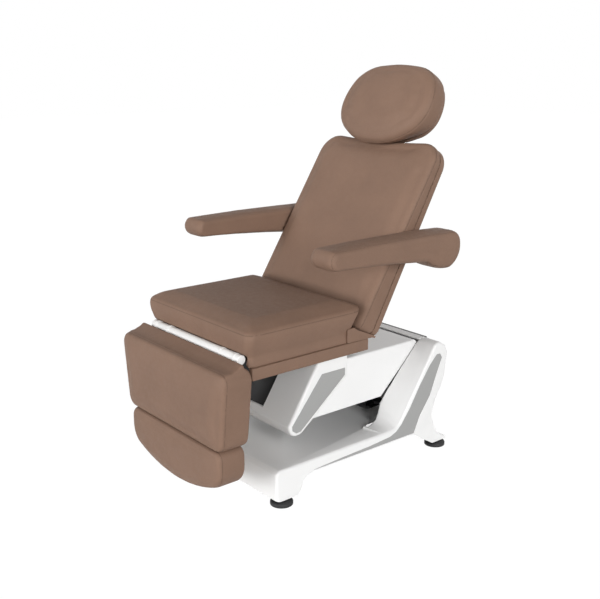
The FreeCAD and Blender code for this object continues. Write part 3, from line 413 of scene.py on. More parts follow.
    @staticmethod
    def join(objects: Sequence[Piece]) -> Piece:
        """Make several objects one.

        Args:
            objects: The objects.

        Returns:
            The joined object, under the first one's name.
        """
        Bench.take(objects[0])
        for other in objects[1:]:
            other.select_set(True)
        bpy.ops.object.join()
        return bpy.context.object

    @staticmethod
    def recess(obj: Piece, outline: Outline, half: float, depth: float, past: float = 0.01) -> None:
        """Sink a panel into both sides of a casing.

        Args:
            obj: The casing.
            outline: The panel's side outline in millimetres from the leg hinge.
            half: Half the casing's width in metres.
            depth: Depth of the panel in metres.
            past: How far the cut starts outside the casing.
        """
        for _, sign in SIDES:
            pocket = Bench.slab("pocket", side_line(outline), sign * (half - depth), sign * (half + past))
            Bench.combine(obj, pocket, Join.CUT)


class Sheet:
    """A node tree, with short calls to fill it."""

    def __init__(self, tree: bpy.types.NodeTree) -> None:
        """Take up a tree."""
        self.tree = tree

    def node(self, kind: str, **values: object) -> bpy.types.Node:
        """Add a node and set its inputs.

        Args:
            kind: Node type without its prefix.
            values: Values or links for its inputs, named as for fill.

        Returns:
            The new node.
        """
        node = self.tree.nodes.new("ShaderNode" + kind)
        self.fill(node, **values)
        return node

    def fill(self, node: bpy.types.Node, **values: object) -> None:
        """Set a node's inputs to values, or link them to other nodes' outputs.

        Args:
            node: The node.
            values: Input names, with spaces as underscores, or input numbers after an underscore.
        """
        for name, value in values.items():
            name = name.replace("_", " ").strip()
            socket = node.inputs[int(name) if name.isdigit() else name]
            if isinstance(value, Socket):
                self.tree.links.new(value, socket)
            else:
                socket.default_value = value


class Recipe(Sheet):
    """A material's node tree, built round one principled shader."""

    def __init__(self, name: str) -> None:
        """Start a material."""
        self.material = bpy.data.materials.new(name)
        self.material.use_nodes = True
        super().__init__(self.material.node_tree)
        self.shader = self.tree.nodes["Principled BSDF"]
        self.place = self.node("TexCoord").outputs["Object"]

    def noise(self, scale: float, detail: float = 2, stretch: Triple = (1, 1, 1)) -> Socket:
        """A noise field on Object coordinates.

        Args:
            scale: Noise scale per metre.
            detail: Octaves.
            stretch: Scale along each axis, for grain that runs one way.

        Returns:
            The noise value, about 0.3 to 0.7.
        """
        place = self.place
        if stretch != (1, 1, 1):
            mapping = self.node("Mapping", Vector=place)
            mapping.inputs["Scale"].default_value = stretch
            place = mapping.outputs["Vector"]
        return self.node("TexNoise", Vector=place, Scale=scale, Detail=detail).outputs["Fac"]

    def span(self, value: Socket, low: float, high: float, start: float = 0.3,
             end: float = 0.7) -> Socket:
        """Map a field, from low where it is at its start to high where it is at its end."""
        node = self.node("MapRange", Value=value, From_Min=start, From_Max=end, To_Min=low, To_Max=high)
        return node.outputs["Result"]

    def tint(self, share: Socket, base: object, other: Colour, kind: str = "MIX") -> Socket:
        """Blend two colours by a field.

        Args:
            share: Share of the second colour.
            base: First colour, or a link to one.
            other: Second colour.
            kind: How they blend.

        Returns:
            The blended colour.
        """
        node = self.tree.nodes.new("ShaderNodeMix")
        node.data_type = "RGBA"
        node.blend_type = kind
        start = base if isinstance(base, Socket) else (*base, 1)
        self.fill(node, Factor=share, A=start, B=(*other, 1))
        return node.outputs["Result"]

    def bump(self, height: Socket, strength: float, distance: float,
             under: Optional[Socket] = None) -> Socket:
        """Turn a height field into a normal.

        Args:
            height: The height field.
            strength: Bump strength.
            distance: Height in metres.
            under: Normal of a coarser bump to build on.

        Returns:
            The new normal.
        """
        node = self.node("Bump", Height=height, Strength=strength, Distance=distance)
        if under is not None:
            self.tree.links.new(under, node.inputs["Normal"])
        return node.outputs["Normal"]

    def finish(self, **values: object) -> bpy.types.Material:
        """Set the shader's inputs and return the material."""
        self.fill(self.shader, **values)
        return self.material


def shade(colour: Colour, share: float) -> Colour:
    """A colour made darker or lighter by a share."""
    return tuple(channel * share for channel in colour)


@dataclass(frozen=True)
class Leatherette:
    """Synthetic leather: fine pebble grain, soft mottling, painted shade in the grain's creases, and dark
    thread with painted shade in the seams.
    """

    colour: Colour = (0.245, 0.153, 0.109)
    # Seam colour: dark thread and painted shade in the groove
    thread_and_groove_shade: Colour = (0.085, 0.055, 0.042)
    # Painted shade in the grain's creases
    crease_shade: Colour = (0.55, 0.5, 0.47)
    pebble: float = 480
    depth: float = 0.0006

    def make(self) -> bpy.types.Material:
        """Build the material."""
        recipe = Recipe("brown_leatherette")
        cells = recipe.node("TexVoronoi", Vector=recipe.place, Scale=self.pebble)
        cells.feature = "DISTANCE_TO_EDGE"
        pebbles = recipe.span(cells.outputs["Distance"], 0, 1, 0, 0.22)
        mottle = recipe.span(recipe.noise(7, 3), 0, 1)
        colour = recipe.tint(mottle, shade(self.colour, 0.95), shade(self.colour, 1.05))
        # Painted shade: the grain's creases darkened
        colour = recipe.tint(recipe.span(pebbles, 0.22, 0, 0, 1), colour, self.crease_shade, "MULTIPLY")
        # Seams drawn dark: dark thread and painted shade in the groove
        sewn = recipe.node("Attribute")
        sewn.attribute_name = "seam"
        colour = recipe.tint(recipe.span(sewn.outputs["Fac"], 0, 0.75, 0, 1), colour, self.thread_and_groove_shade)
        wave = recipe.bump(recipe.noise(38, 2), 0.10, 0.004)
        grain = recipe.bump(pebbles, 0.30, self.depth, wave)
        fine = recipe.bump(recipe.noise(1500, 1), 0.12, 0.0003, grain)
        rough = recipe.span(recipe.noise(55, 2), 0.52, 0.64)
        return recipe.finish(Base_Color=colour, Roughness=rough, Normal=fine, Specular_IOR_Level=0.18)


@dataclass(frozen=True)
class Moulded:
    """Moulded or painted casing with a faint orange-peel skin."""

    name: str
    colour: Colour
    rough: Tuple[float, float] = (0.30, 0.38)
    peel: float = 160
    height: float = 0.0004
    strength: float = 0.10
    spread: float = 0.02

    def make(self) -> bpy.types.Material:
        """Build the material."""
        recipe = Recipe(self.name)
        cloud = recipe.span(recipe.noise(5, 2), 0, 1)
        colour = recipe.tint(cloud, shade(self.colour, 1 - self.spread), self.colour)
        normal = recipe.bump(recipe.noise(self.peel, 2), self.strength, self.height)
        rough = recipe.span(recipe.noise(24, 3), *self.rough)
        return recipe.finish(Base_Color=colour, Roughness=rough, Normal=normal)


@dataclass(frozen=True)
class Metal:
    """Drawn or plated metal with fine lines along one axis."""

    name: str
    colour: Colour
    rough: Tuple[float, float]
    lines: Triple = (1, 40, 40)

    def make(self) -> bpy.types.Material:
        """Build the material."""
        recipe = Recipe(self.name)
        brushed = recipe.noise(60, 3, self.lines)
        colour = recipe.tint(recipe.span(brushed, 0, 1), shade(self.colour, 0.9), self.colour)
        normal = recipe.bump(brushed, 0.05, 0.0002)
        return recipe.finish(Base_Color=colour, Roughness=recipe.span(brushed, *self.rough), Normal=normal,
                             Metallic=1.0)


@dataclass(frozen=True)
class Board:
    """Birch board with grain along its width."""

    pale: Colour = (0.52, 0.36, 0.20)
    dark: Colour = (0.33, 0.20, 0.10)

    def make(self) -> bpy.types.Material:
        """Build the material."""
        recipe = Recipe("birch_board")
        grain = recipe.noise(26, 5, (1, 14, 14))
        colour = recipe.tint(recipe.span(grain, 0, 1), self.dark, self.pale)
        return recipe.finish(Base_Color=colour, Roughness=recipe.span(grain, 0.75, 0.6),
                             Normal=recipe.bump(grain, 0.2, 0.0005))


def make_finishes() -> Dict[Slot, bpy.types.Material]:
    """Build one material for each slot."""
    finishes = {
        Slot.UPHOLSTERY: Leatherette(),
        Slot.SHELL: Moulded("white_casing", (0.90, 0.90, 0.895)),
        Slot.INSET: Moulded("grey_panel", (0.38, 0.38, 0.375), (0.42, 0.52), 900, 0.0002, 0.2, 0.06),
        Slot.FRAME: Moulded("dark_coating", (0.028, 0.029, 0.032), (0.5, 0.62), 700, 0.0003, 0.25, 0.25),
        Slot.STEEL: Metal("bright_steel", (0.62, 0.62, 0.61), (0.22, 0.36)),
        Slot.BAR: Moulded("white_bar_paint", (0.88, 0.88, 0.87), (0.30, 0.38), 300, 0.0002, 0.03),
        Slot.RUBBER: Moulded("black_rubber", (0.013, 0.013, 0.014), (0.6, 0.75), 600, 0.0004, 0.3, 0.3),
        Slot.BOARD: Board(),
        Slot.PLASTIC: Moulded("black_plastic", (0.018, 0.018, 0.02), (0.38, 0.5), 900, 0.0002, 0.2, 0.3),
        Slot.CHROME: Metal("plated_rod", (0.75, 0.75, 0.76), (0.08, 0.16)),
    }
    return {slot: finish.make() for slot, finish in finishes.items()}


@dataclass
class Workshop:
    """The loaded frame and the finishes, handed to every sub-assembly."""

    nodes: Dict[str, Piece]
    finishes: Dict[Slot, bpy.types.Material]
    replaced: List[str] = field(default_factory=list)

    def dress(self, obj: Piece, body: Optional[str], slot: Slot, stands_for: Sequence[str] = ()) -> None:
        """Give a piece its finish and its body.

        Args:
            obj: The finished piece.
            body: The body that it moves with, or none for a piece left on no body.
            slot: Its finish.
            stands_for: CAD nodes that it replaces.
        """
        obj.data.materials.clear()
        obj.data.materials.append(self.finishes[slot])
        if body is not None:
            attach(obj, body)
        if stands_for:
            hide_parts(*stands_for)
            self.replaced.extend(stands_for)
        LOG.info("%s rides on %s, %d faces", obj.name, body or "two bodies", len(obj.data.polygons))

    def dress_rest(self) -> None:
        """Give every CAD node that stays its finish."""
        for name, obj in self.nodes.items():
            if name in self.replaced:
                continue
            slot = Slot(obj.data.materials[0].name.split(".")[0])
            obj.data.materials[0] = self.finishes[slot]
            LOG.info("%s keeps its shape, finish %s", name, slot.value)


@dataclass
class Cushion:
    """One upholstered pad, swollen by its filling from the CAD form."""

    name: str
    node: str
    body: str
    held: Callable[[Array], Array]
    caps: Triple
    voxel: float = 0.007
    axes: Array = field(default_factory=lambda: UPRIGHT)
    seams: Sequence[Tuple[Vector, Vector]] = ()
    more_nodes: Sequence[str] = ()
    reshape: Optional[Callable[[Array], None]] = None
    fade: Optional[Callable[[Array], Array]] = None
    extra: Outline = ()
    extra_half: float = 0.0
    soften: int = 2
    crown: Point = (0.0, 0.1)
    rim: float = 0.015
    shrink: float = 0.002
    pressure: float = 4.0
    mass: float = 0.3
    stiffness: float = 4.0
    frames: int = 20
    easing: int = 14
    fill: float = 0.85

    def build(self, shop: Workshop) -> None:
        """Model the pad and put it on its body.

        Args:
            shop: The frame and finishes.
        """
        pad = Bench.copy(shop.nodes[self.node], self.name)
        if self.reshape is not None:
            Bench.reshape(pad, self.reshape)
        if self.extra:
            roll = Bench.slab(self.name + "_roll", side_line(self.extra), -self.extra_half, self.extra_half)
            Bench.combine(pad, roll, Join.ADD)
        Bench.modify(pad, "REMESH", mode="VOXEL", voxel_size=self.voxel)
        with Bench.editing(pad, "VERT", whole=True):
            bpy.ops.mesh.vertices_smooth(factor=0.5, repeat=self.soften)
            bpy.ops.transform.shrink_fatten(value=-self.shrink)
        self.swell(pad)
        Bench.modify(pad, "SUBSURF", levels=1, render_levels=1)
        for point, normal in self.seams:
            Bench.seam(pad, point, normal)
        Bench.take(pad)
        bpy.ops.object.shade_smooth()
        shop.dress(pad, self.body, Slot.UPHOLSTERY, [self.node, *self.more_nodes])

    def swell(self, pad: Piece) -> None:
        """Blow the pad up against its cover, with its resting side held.

        Args:
            pad: The evenly meshed pad.
        """
        rest = Bench.points(pad)
        normals = np.empty(rest.size, np.float32)
        pad.data.vertex_normals.foreach_get("vector", normals)
        normals = normals.reshape(-1, 3)
        rise = np.zeros(len(rest), np.float32)
        rise = self.press(pad, rest, normals)
        rise = np.maximum(rise, self.shrink) + self.crowned(rest, normals)
        pad.data.vertices.foreach_set("co", (rest + normals * rise[:, None]).ravel())
        LOG.info("%s swelled by up to %.1f mm", pad.name, 1000 * float(rise.max() - self.shrink))

    def crowned(self, rest: Array, normals: Array) -> Array:
        """The sewn crown of a level pad: a sloped border round a raised middle.

        Args:
            rest: The pad's points.
            normals: Its normals.

        Returns:
            The height of the crown at each point.
        """
        height, border = self.crown
        low, high = rest.min(axis=0), rest.max(axis=0)
        inward = np.minimum(rest - low, high - rest)[:, :2].min(axis=1)
        share = np.clip((inward - self.rim) / border, 0, 1)
        return (height * share * np.clip(normals[:, 2] * 2 - 1, 0, 1)).astype(np.float32)

    def press(self, pad: Piece, rest: Array, normals: Array) -> Array:
        """Run the filling's pressure and measure how far the cover rises.

        Args:
            pad: The evenly meshed pad.
            rest: Its points.
            normals: Its normals.

        Returns:
            The rise of each point along its normal, eased and capped.
        """
        count = len(rest)
        group = pad.vertex_groups.new(name="held")
        group.add([int(i) for i in np.nonzero(self.held(rest))[0]], 1.0, "REPLACE")
        cloth = pad.modifiers.new("filling", "CLOTH")
        settings = cloth.settings
        settings.quality = 4
        settings.mass = self.mass
        settings.bending_stiffness = self.stiffness
        settings.use_pressure = True
        settings.uniform_pressure_force = self.pressure
        settings.effector_weights.gravity = 0
        settings.vertex_group_mass = "held"
        cloth.point_cache.frame_start = 1
        cloth.point_cache.frame_end = self.frames
        for frame in range(1, self.frames + 1):
            bpy.context.scene.frame_set(frame)
        Bench.apply(pad, cloth)
        bpy.context.scene.frame_set(1)
        grown = Bench.points(pad)
        pad.vertex_groups.clear()
        rise = np.clip(((grown - rest) * normals).sum(axis=1), 0, None)
        local = normals @ self.axes.T.astype(np.float32)
        cap = (local ** 2) @ np.array(self.caps, np.float32)
        if self.fade is not None:
            cap *= self.fade(rest)
        cap += self.shrink
        rise = cap * np.tanh(rise / cap)
        edges = np.empty(len(pad.data.edges) * 2, np.int32)
        pad.data.edges.foreach_get("vertices", edges)
        first, second = edges[::2], edges[1::2]
        near = np.bincount(first, minlength=count) + np.bincount(second, minlength=count)
        for _ in range(self.easing):
            total = np.bincount(first, rise[second], count) + np.bincount(second, rise[first], count)
            rise = 0.5 * rise + 0.5 * total / near
        return rise.astype(np.float32)


@dataclass
class Upholstery:
    """All the pads of the chair, and the covered panels behind and under them."""

    shop: Workshop
    lean: float = 29.5
    wedge: float = 3.0
    hinge: Triple = (0, 0.104025, 0.545)
    back_front: float = 0.092
    back_seam: float = 0.019
    head_front: float = 0.121
    head_seam: float = 0.030
    head_lip: float = -0.062
    dip_fill: float = 0.014
    dip_half: float = 0.22
    dip_from: float = 0.60
    dip_blend: float = 0.03
    tuck_top: float = 0.79
    tuck_tall: float = 0.135
    seat_seam: float = 0.6195
    leg_seam: float = -0.5365
    foot_seam: float = -0.5345
    tray_face: float = -0.0135
    tray_rim: float = 0.005
    tray_widen: float = 299 / 294
    pocket_end: float = 0.275
    pocket_closed: float = 0.2625
    core_face: float = 0.3165
    core_deep: float = 0.0093
    arm_held: float = 0.312
    arm_seam: float = 0.4115
    roll_half: float = 0.300
    roll: Outline = (
        (-70, 496), (-98, 508), (-80, 516.5), (-58, 520.5), (-40, 528), (-26, 537), (-19.5, 540),
        (-18.4, 524), (-14.5, 518.6), (-8, 514.6), (0, 513), (0, 500))
    gusset: Outline = (
        (412, 514), (412, 560), (442, 563), (458, 552), (546, 512), (540, 507), (528, 511.5))
    gusset_x: Point = (0.284, 0.2925)
    gusset_bend: Sequence[Point] = ((458, 520), (476, 552))
    gusset_fill: float = 0.3

    def build(self) -> None:
        """Build each pad and panel."""
        seat_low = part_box("seat_cushion")[0].z
        seat_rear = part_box("seat_cushion")[1].y
        leg_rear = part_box("leg_cushion")[1].y
        foot_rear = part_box("foot_cushion")[1].y
        up = Vector((0, np.sin(np.radians(self.lean)), np.cos(np.radians(self.lean))))
        out = Vector((0, up.z, -up.y))
        hinge = Vector(self.hinge)
        leaned = np.array(((1, 0, 0), out, up))
        front = (out - up * np.tan(np.radians(self.wedge))).normalized()
        across, along, level = Vector((1, 0, 0)), Vector((0, 1, 0)), Vector((0, 0, 1))

        def behind(points: Array) -> Array:
            """Depth behind the back hinge, square to the back."""
            return (points - np.array(hinge)) @ np.array(out)

        def above(points: Array) -> Array:
            """Height above the back hinge, along the back."""
            return (points - np.array(hinge)) @ np.array(up)

        def over_core(points: Array) -> None:
            """Carry an armrest's inner side out over its steel core."""
            inner = np.abs(points[:, 0]) < self.core_face
            points[inner, 0] -= np.sign(points[inner, 0]) * self.core_deep

        def level_top(points: Array) -> None:
            """Fill most of the dip in the back's top edge, behind the headrest."""
            share = np.clip((above(points) - self.dip_from) / self.dip_blend, 0, 1)
            share = share * np.clip(1 - (points[:, 0] / self.dip_half) ** 2, 0, 1)
            points += np.outer(self.dip_fill * share, up).astype(np.float32)

        def tuck_under(points: Array) -> None:
            """Raise the headrest's underside behind its front lip, clear of the back's top edge."""
            share = np.clip((self.tuck_top - above(points)) / self.tuck_tall, 0, 1) ** 2
            share = share * (behind(points) > self.head_lip)
            points += np.outer(self.dip_fill * share, up).astype(np.float32)

        def flush_rear(points: Array) -> None:
            """Fill the back out to the rim of its rear tray."""
            level_top(points)
            rear = behind(points) > self.tray_face
            height = above(points)[rear]
            points[rear, 0] *= self.tray_widen
            way = np.where(height > 0.3, 1, np.where(height < 0, -1, 0))
            points[rear] += np.outer(self.tray_rim * way, up)

        def close_ends(points: Array) -> None:
            """Close the pocket for the hinge bar near the bar's ends."""
            pocket = np.abs(np.abs(points[:, 0]) - self.pocket_end) < 0.001
            pocket &= (points[:, 2] < 0.553) & (points[:, 1] < -0.37)
            points[pocket, 0] = np.sign(points[pocket, 0]) * self.pocket_closed

        pads = [
            Cushion("seat_pad", "seat_cushion", "carriage", lambda p: p[:, 2] < seat_low + 0.012,
                    caps=(0.0012, 0.005, 0.004), seams=[(Vector((0, 0, self.seat_seam)), level)],
                    reshape=close_ends, crown=(0.014, 0.052),
                    fade=lambda p: np.clip((seat_rear - p[:, 1]) / 0.03, 0.15, 1)),
            Cushion("back_pad", "back_cushion", "backrest", lambda p: behind(p) > -0.022,
                    caps=(0.002, 0.010, 0.002), voxel=0.008, axes=leaned,
                    seams=[(hinge - out * (self.back_front - self.back_seam), front)], reshape=flush_rear,
                    fade=lambda p: np.clip((above(p) - 0.05) / 0.12, 0.1, 1)),
            Cushion("head_pad", "headrest_cushion", "headrest", lambda p: behind(p) > -0.036,
                    caps=(0.003, 0.009, 0.001), voxel=0.006, axes=leaned,
                    seams=[(hinge - out * (self.head_front - self.head_seam), out)], reshape=tuck_under),
            Cushion("leg_pad", "leg_cushion", "legrest", lambda p: p[:, 1] > leg_rear - 0.014,
                    caps=(0.002, 0.007, 0.0006), voxel=0.006, seams=[(Vector((0, self.leg_seam, 0)), along)],
                    extra=self.roll, extra_half=self.roll_half),
            Cushion("foot_pad", "foot_cushion", "footrest", lambda p: p[:, 1] > foot_rear - 0.014,
                    caps=(0.003, 0.007, 0.0006), seams=[(Vector((0, self.foot_seam, 0)), along)]),
        ]
        for side, sign in SIDES:
            pads.append(Cushion(
                side + "_arm_pad", "armrest_pad_" + side, "armrest_" + side,
                lambda p, sign=sign: sign * p[:, 0] < self.arm_held, caps=(0.003, 0.001, 0.003), voxel=0.005,
                seams=[(Vector((sign * self.arm_seam, 0, 0)), across)],
                more_nodes=["armrest_core_" + side], reshape=over_core, soften=1))
        for pad in pads:
            pad.build(self.shop)
        for name, node, body, width in (("back_tray", "back_cover", "backrest", 0.0008),
                                        ("head_tray", "headrest_board", "headrest", 0.002),
                                        ("seat_skirt", "seat_pan", "carriage", 0.004)):
            panel = Bench.copy(self.shop.nodes[node], name)
            if node == "back_cover":
                Bench.reshape(panel, level_top)
            Bench.ease(panel, width, 35, 3)
            Bench.smooth(panel)
            self.shop.dress(panel, body, Slot.UPHOLSTERY, [node])
        self.build_gussets()

    def build_gussets(self) -> None:
        """The soft side panels between seat and back, left on no body."""
        inner, outer = self.gusset_x
        for side, sign in SIDES:
            panel = Bench.slab("hinge_gusset_" + side, side_line(self.gusset), sign * inner, sign * outer)
            with Bench.editing(panel, whole=True):
                bpy.ops.mesh.quads_convert_to_tris()
                bpy.ops.mesh.subdivide(number_cuts=7)
            Bench.outward(panel)
            Bench.smooth(panel)
            self.shop.dress(panel, None, Slot.UPHOLSTERY)
            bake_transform(panel)


@dataclass
class BaseCasing:
    """The white base: floor plate with toes, two pylons and the rear wall."""

    shop: Workshop
    half: float = 0.290
    channel: float = 0.208
    overlap: float = 0.001
    wall: float = 0.0022
    round: float = 0.010
    inset_deep: float = 0.003
    skirt_z: float = 0.0935
    skirt_half: float = 0.2835
    well: Box = ((-0.075, 0.274525, -0.03), (0.075, 0.406525, 0.134))
    inlet: Box = ((-0.025, 0.388525, 0.150), (0.025, 0.448525, 0.180))
    floor: Outline = (
        (110, 27), (124, 22.5), (196, 22.5), (208, 32), (215, 48), (223, 68), (238, 84), (266, 90),
        (757, 88), (812, 52), (862, 22.5), (926, 22.5), (936, 25), (937, 32), (912, 43), (887, 60),
        (866, 92), (858, 118), (857, 133), (126, 133), (114, 129), (108, 118))
    rear: Outline = (
        (886, 421), (916, 405), (930, 373), (919, 283), (900, 240), (873, 194), (857, 140), (857, 118))
    outer: Outline = (
        (600, 118), (600, 133), (640, 134.5), (660, 136), (676, 142), (692, 152), (742, 228),
        (806, 330), (858, 412), (870, 421))
    inner: Outline = (
        (560, 118), (572, 133.5), (606, 140), (630, 155), (643, 178), (652, 216), (692, 262),
        (770, 343), (842, 414), (856, 420))
    screen: Outline = (
        (900, 420), (900, 414), (911, 402), (924, 372), (913.5, 285), (895, 242), (868, 196),
        (852, 141), (852, 118), (857, 118), (857, 140), (873, 194), (900, 240), (919, 283),
        (930, 373), (916, 405))
    inset: Outline = (
        (270, 93), (757, 92), (788, 156), (839, 223), (868, 295), (897, 360), (886, 376), (868, 378),
        (832, 343), (782, 276), (732, 198), (692, 146), (664, 124), (632, 112), (531, 105), (400, 101),
        (310, 97), (270, 94.5))

    def build(self) -> None:
        """Model the casing and put it on the base."""
        casing = Bench.slab("base_casing", side_line(self.floor), -self.half, self.half)
        outer, inner = (side_line([*edge, *self.rear]) for edge in (self.outer, self.inner))
        for _, sign in SIDES:
            pylon = Bench.slab("pylon", outer, sign * self.half, sign * self.channel, inner)
            Bench.combine(casing, pylon, Join.ADD)
        reach = self.channel + self.overlap
        Bench.combine(casing, Bench.slab("screen", side_line(self.screen), -reach, reach), Join.ADD)
        Bench.cut_block(casing, self.well)
        Bench.outward(casing, 1e-5)
        Bench.dissolve(casing, 0.01)
        self.round_off(casing)
        Bench.recess(casing, self.inset, self.half, self.inset_deep)
        Bench.cut_block(casing, self.inlet)
        Bench.hollow(casing, self.wall,
                     lambda c, n: n.z < -0.1 and c.z < self.skirt_z and abs(c.x) < self.skirt_half)
        Bench.smooth(casing, 35)
        self.shop.dress(casing, "base", Slot.SHELL, ["base_shell"])

    def round_off(self, casing: Piece) -> None:
        """Round the casing's edges broadly, except the skirt's lower edge, the toes and the rear wall's thin
        top.

        Args:
            casing: The closed casing.
        """
        def low(a: Vector, b: Vector) -> bool:
            """Whether an edge is part of the skirt's lower edge, a toe or the rear wall's thin top."""
            middle = (a + b) / 2
            thin = middle.z > 0.36 and middle.y > 0.445 and abs(middle.x) < 0.2095
            toe = middle.z < 0.06 or middle.z < 0.115 and middle.y > 0.40
            return thin or toe or middle.z < 0.0945 and middle.y > -0.24

        Bench.round_edges(casing, self.round, 34, 4, lambda a, b: not low(a, b))


@dataclass
class NoseCasing:
    """The white nose under the seat, open at its rear and underneath."""

    shop: Workshop
    half: float = 0.225
    wall: float = 0.006
    round: float = 0.011
    inset_deep: float = 0.003
    open_half: float = 0.20
    gate: Box = ((-0.176, -0.30, 0.4365), (0.176, 0.20, 0.60))
    mouth: Box = ((-0.063, -0.30, 0.262), (0.063, -0.09, 0.60))
    # A black sheet behind the nose's mouth: painted shade inside the nose
    shade_sheet_half: float = 0.118
    shade_sheet_outline: Outline = ((232, 254), (236, 252), (372, 462), (372, 466), (368, 466))
    recess: Outline = (
        (359, 398), (466, 398), (466, 371), (322, 257), (266, 213), (246, 211), (229, 223), (228, 240))
    outline: Outline = (
        (213.5, 240), (215, 226), (222, 212), (234, 202), (248, 198), (262, 199), (274, 203),
        (323, 241), (480, 364), (480, 466), (360, 466))

    def build(self) -> None:
        """Model the nose and put it on the carriage."""
        def opened(centre: Vector, normal: Vector) -> bool:
            """Whether a face is part of the open rear or underside."""
            under = normal.z < -0.3 and centre.y > -0.175
            return abs(centre.x) < self.open_half and (under or normal.y > 0.9)

        nose = Bench.slab("nose_casing", side_line(self.outline), -self.half, self.half)
        Bench.round_edges(nose, self.round, 40, 5, lambda a, b: abs(a.x - b.x) < 0.001)
        Bench.hollow(nose, self.wall, opened)
        Bench.recess(nose, self.recess, self.half, self.inset_deep)
        Bench.cut_block(nose, self.gate)
        Bench.cut_block(nose, self.mouth)
        Bench.smooth(nose, 35)
        self.shop.dress(nose, "carriage", Slot.SHELL, ["nose_shell"])
        # Black sheet just behind the mouth, as painted shade inside the nose
        shade_sheet = Bench.slab("nose_shade_sheet", side_line(self.shade_sheet_outline), -self.shade_sheet_half, self.shade_sheet_half)
        Bench.round_edges(shade_sheet, 0.0012, 40, 2, lambda a, b: True)
        Bench.smooth(shade_sheet)
        self.shop.dress(shade_sheet, "carriage", Slot.PLASTIC)


@dataclass
class ArmCasing:
    """The white cover over the lift links, open below."""

    shop: Workshop
    half: float = 0.2062
    wall: float = 0.004
    round: float = 0.007
    outline: Outline = (
        (285, 232), (665, 232), (850, 400), (850, 411), (838, 420), (452, 420), (452, 364))

    def build(self) -> None:
        """Model the cover and put it on the lift arm."""
        cover = Bench.slab("arm_casing", side_line(self.outline), -self.half, self.half)
        Bench.ease(cover, self.round, 30, 4)
        Bench.hollow(cover, self.wall, lambda c, n: n.z < -0.5 or (n.y < -0.5 and c.z < 0.364))
        Bench.smooth(cover)
        self.shop.dress(cover, "lift_arm", Slot.SHELL, ["arm_cover"])


@dataclass
class Fittings:
    """Domed rubber feet and the white bar at the leg hinge."""

    shop: Workshop
    foot_radius: float = 0.039
    foot_rim: float = 0.010
    foot_x: float = 0.265
    feet: Sequence[Point] = ((149, 21.5), (903, 21.5))
    dome: Sequence[Point] = ((0.002, 1.2), (0.006, 1.2), (0.010, 1.0), (0.009, 0.6))
    bar_half: float = 0.258
    bar_radius: float = 0.0160
    sleeve_radius: float = 0.0171
    sleeve_bore: float = 0.0163
    bore_past: float = 0.002
    hinge_z: float = 0.535
    sleeves: Sequence[Tuple[str, str, float, float]] = (
        ("seat_eye_sleeve", "carriage", 0.154, 0.0063), ("leg_eye_sleeve", "legrest", 0.230, 0.0053))

    def build(self) -> None:
        """Build the feet and the bar."""
        feet = [self.foot(sign * self.foot_x, *place) for place in side_line(self.feet) for _, sign in SIDES]
        pads = Bench.join(feet)
        Bench.smooth(pads, 45)
        self.shop.dress(pads, "base", Slot.RUBBER, ["leveling_feet"])
        self.build_bar()

    def foot(self, x: float, y: float, top: float) -> Piece:
        """One foot: a flat pad with a dome that takes the stem.

        Args:
            x: Place across the chair.
            y: Place along the chair.
            top: Height of the dome's top.

        Returns:
            The foot, with its place in its mesh.
        """
        foot = Bench.cylinder("rubber_feet", 48, self.foot_radius, self.foot_rim, (x, y, self.foot_rim / 2))
        rise = (top - self.foot_rim) / len(self.dome)
        Bench.mark(foot, lambda c, n: n.z > 0.9)
        with Bench.editing(foot):
            for thickness, share in self.dome:
                bpy.ops.mesh.inset(thickness=thickness)
                bpy.ops.transform.translate(value=(0, 0, rise * share))
        Bench.round_edges(foot, 0.0015, 60, 2, lambda a, b: max(a.z, b.z) < 0.001)
        return foot

    def build_bar(self) -> None:
        """The white bar, with eased ends and a sleeve over each hinge eye."""
        bar = self.ring("hinge_bar", 0, self.bar_half, self.bar_radius)
        Bench.round_edges(bar, 0.003, 60, 3, lambda a, b: True)
        Bench.smooth(bar)
        self.shop.dress(bar, "carriage", Slot.BAR, ["leg_hinge_bar"])
        for name, body, x, half in self.sleeves:
            pair = [self.ring(name, sign * x, half, self.sleeve_radius) for _, sign in SIDES]
            for sleeve, (_, sign) in zip(pair, SIDES):
                bore = self.ring(name + "_bore", sign * x, half + self.bore_past, self.sleeve_bore)
                Bench.combine(sleeve, bore, Join.CUT)
            both = Bench.join(pair)
            Bench.round_edges(both, 0.001, 60, 2, lambda a, b: True)
            Bench.smooth(both)
            self.shop.dress(both, body, Slot.BAR)

    def ring(self, name: str, x: float, half: float, radius: float) -> Piece:
        """A round bar across the chair on the leg hinge, of half a length to each side of x."""
        hinge_y = side_line([(0, 0)])[0][0]
        return Bench.cylinder(name, 40, radius, 2 * half, (x, hinge_y, self.hinge_z), np.pi / 2)


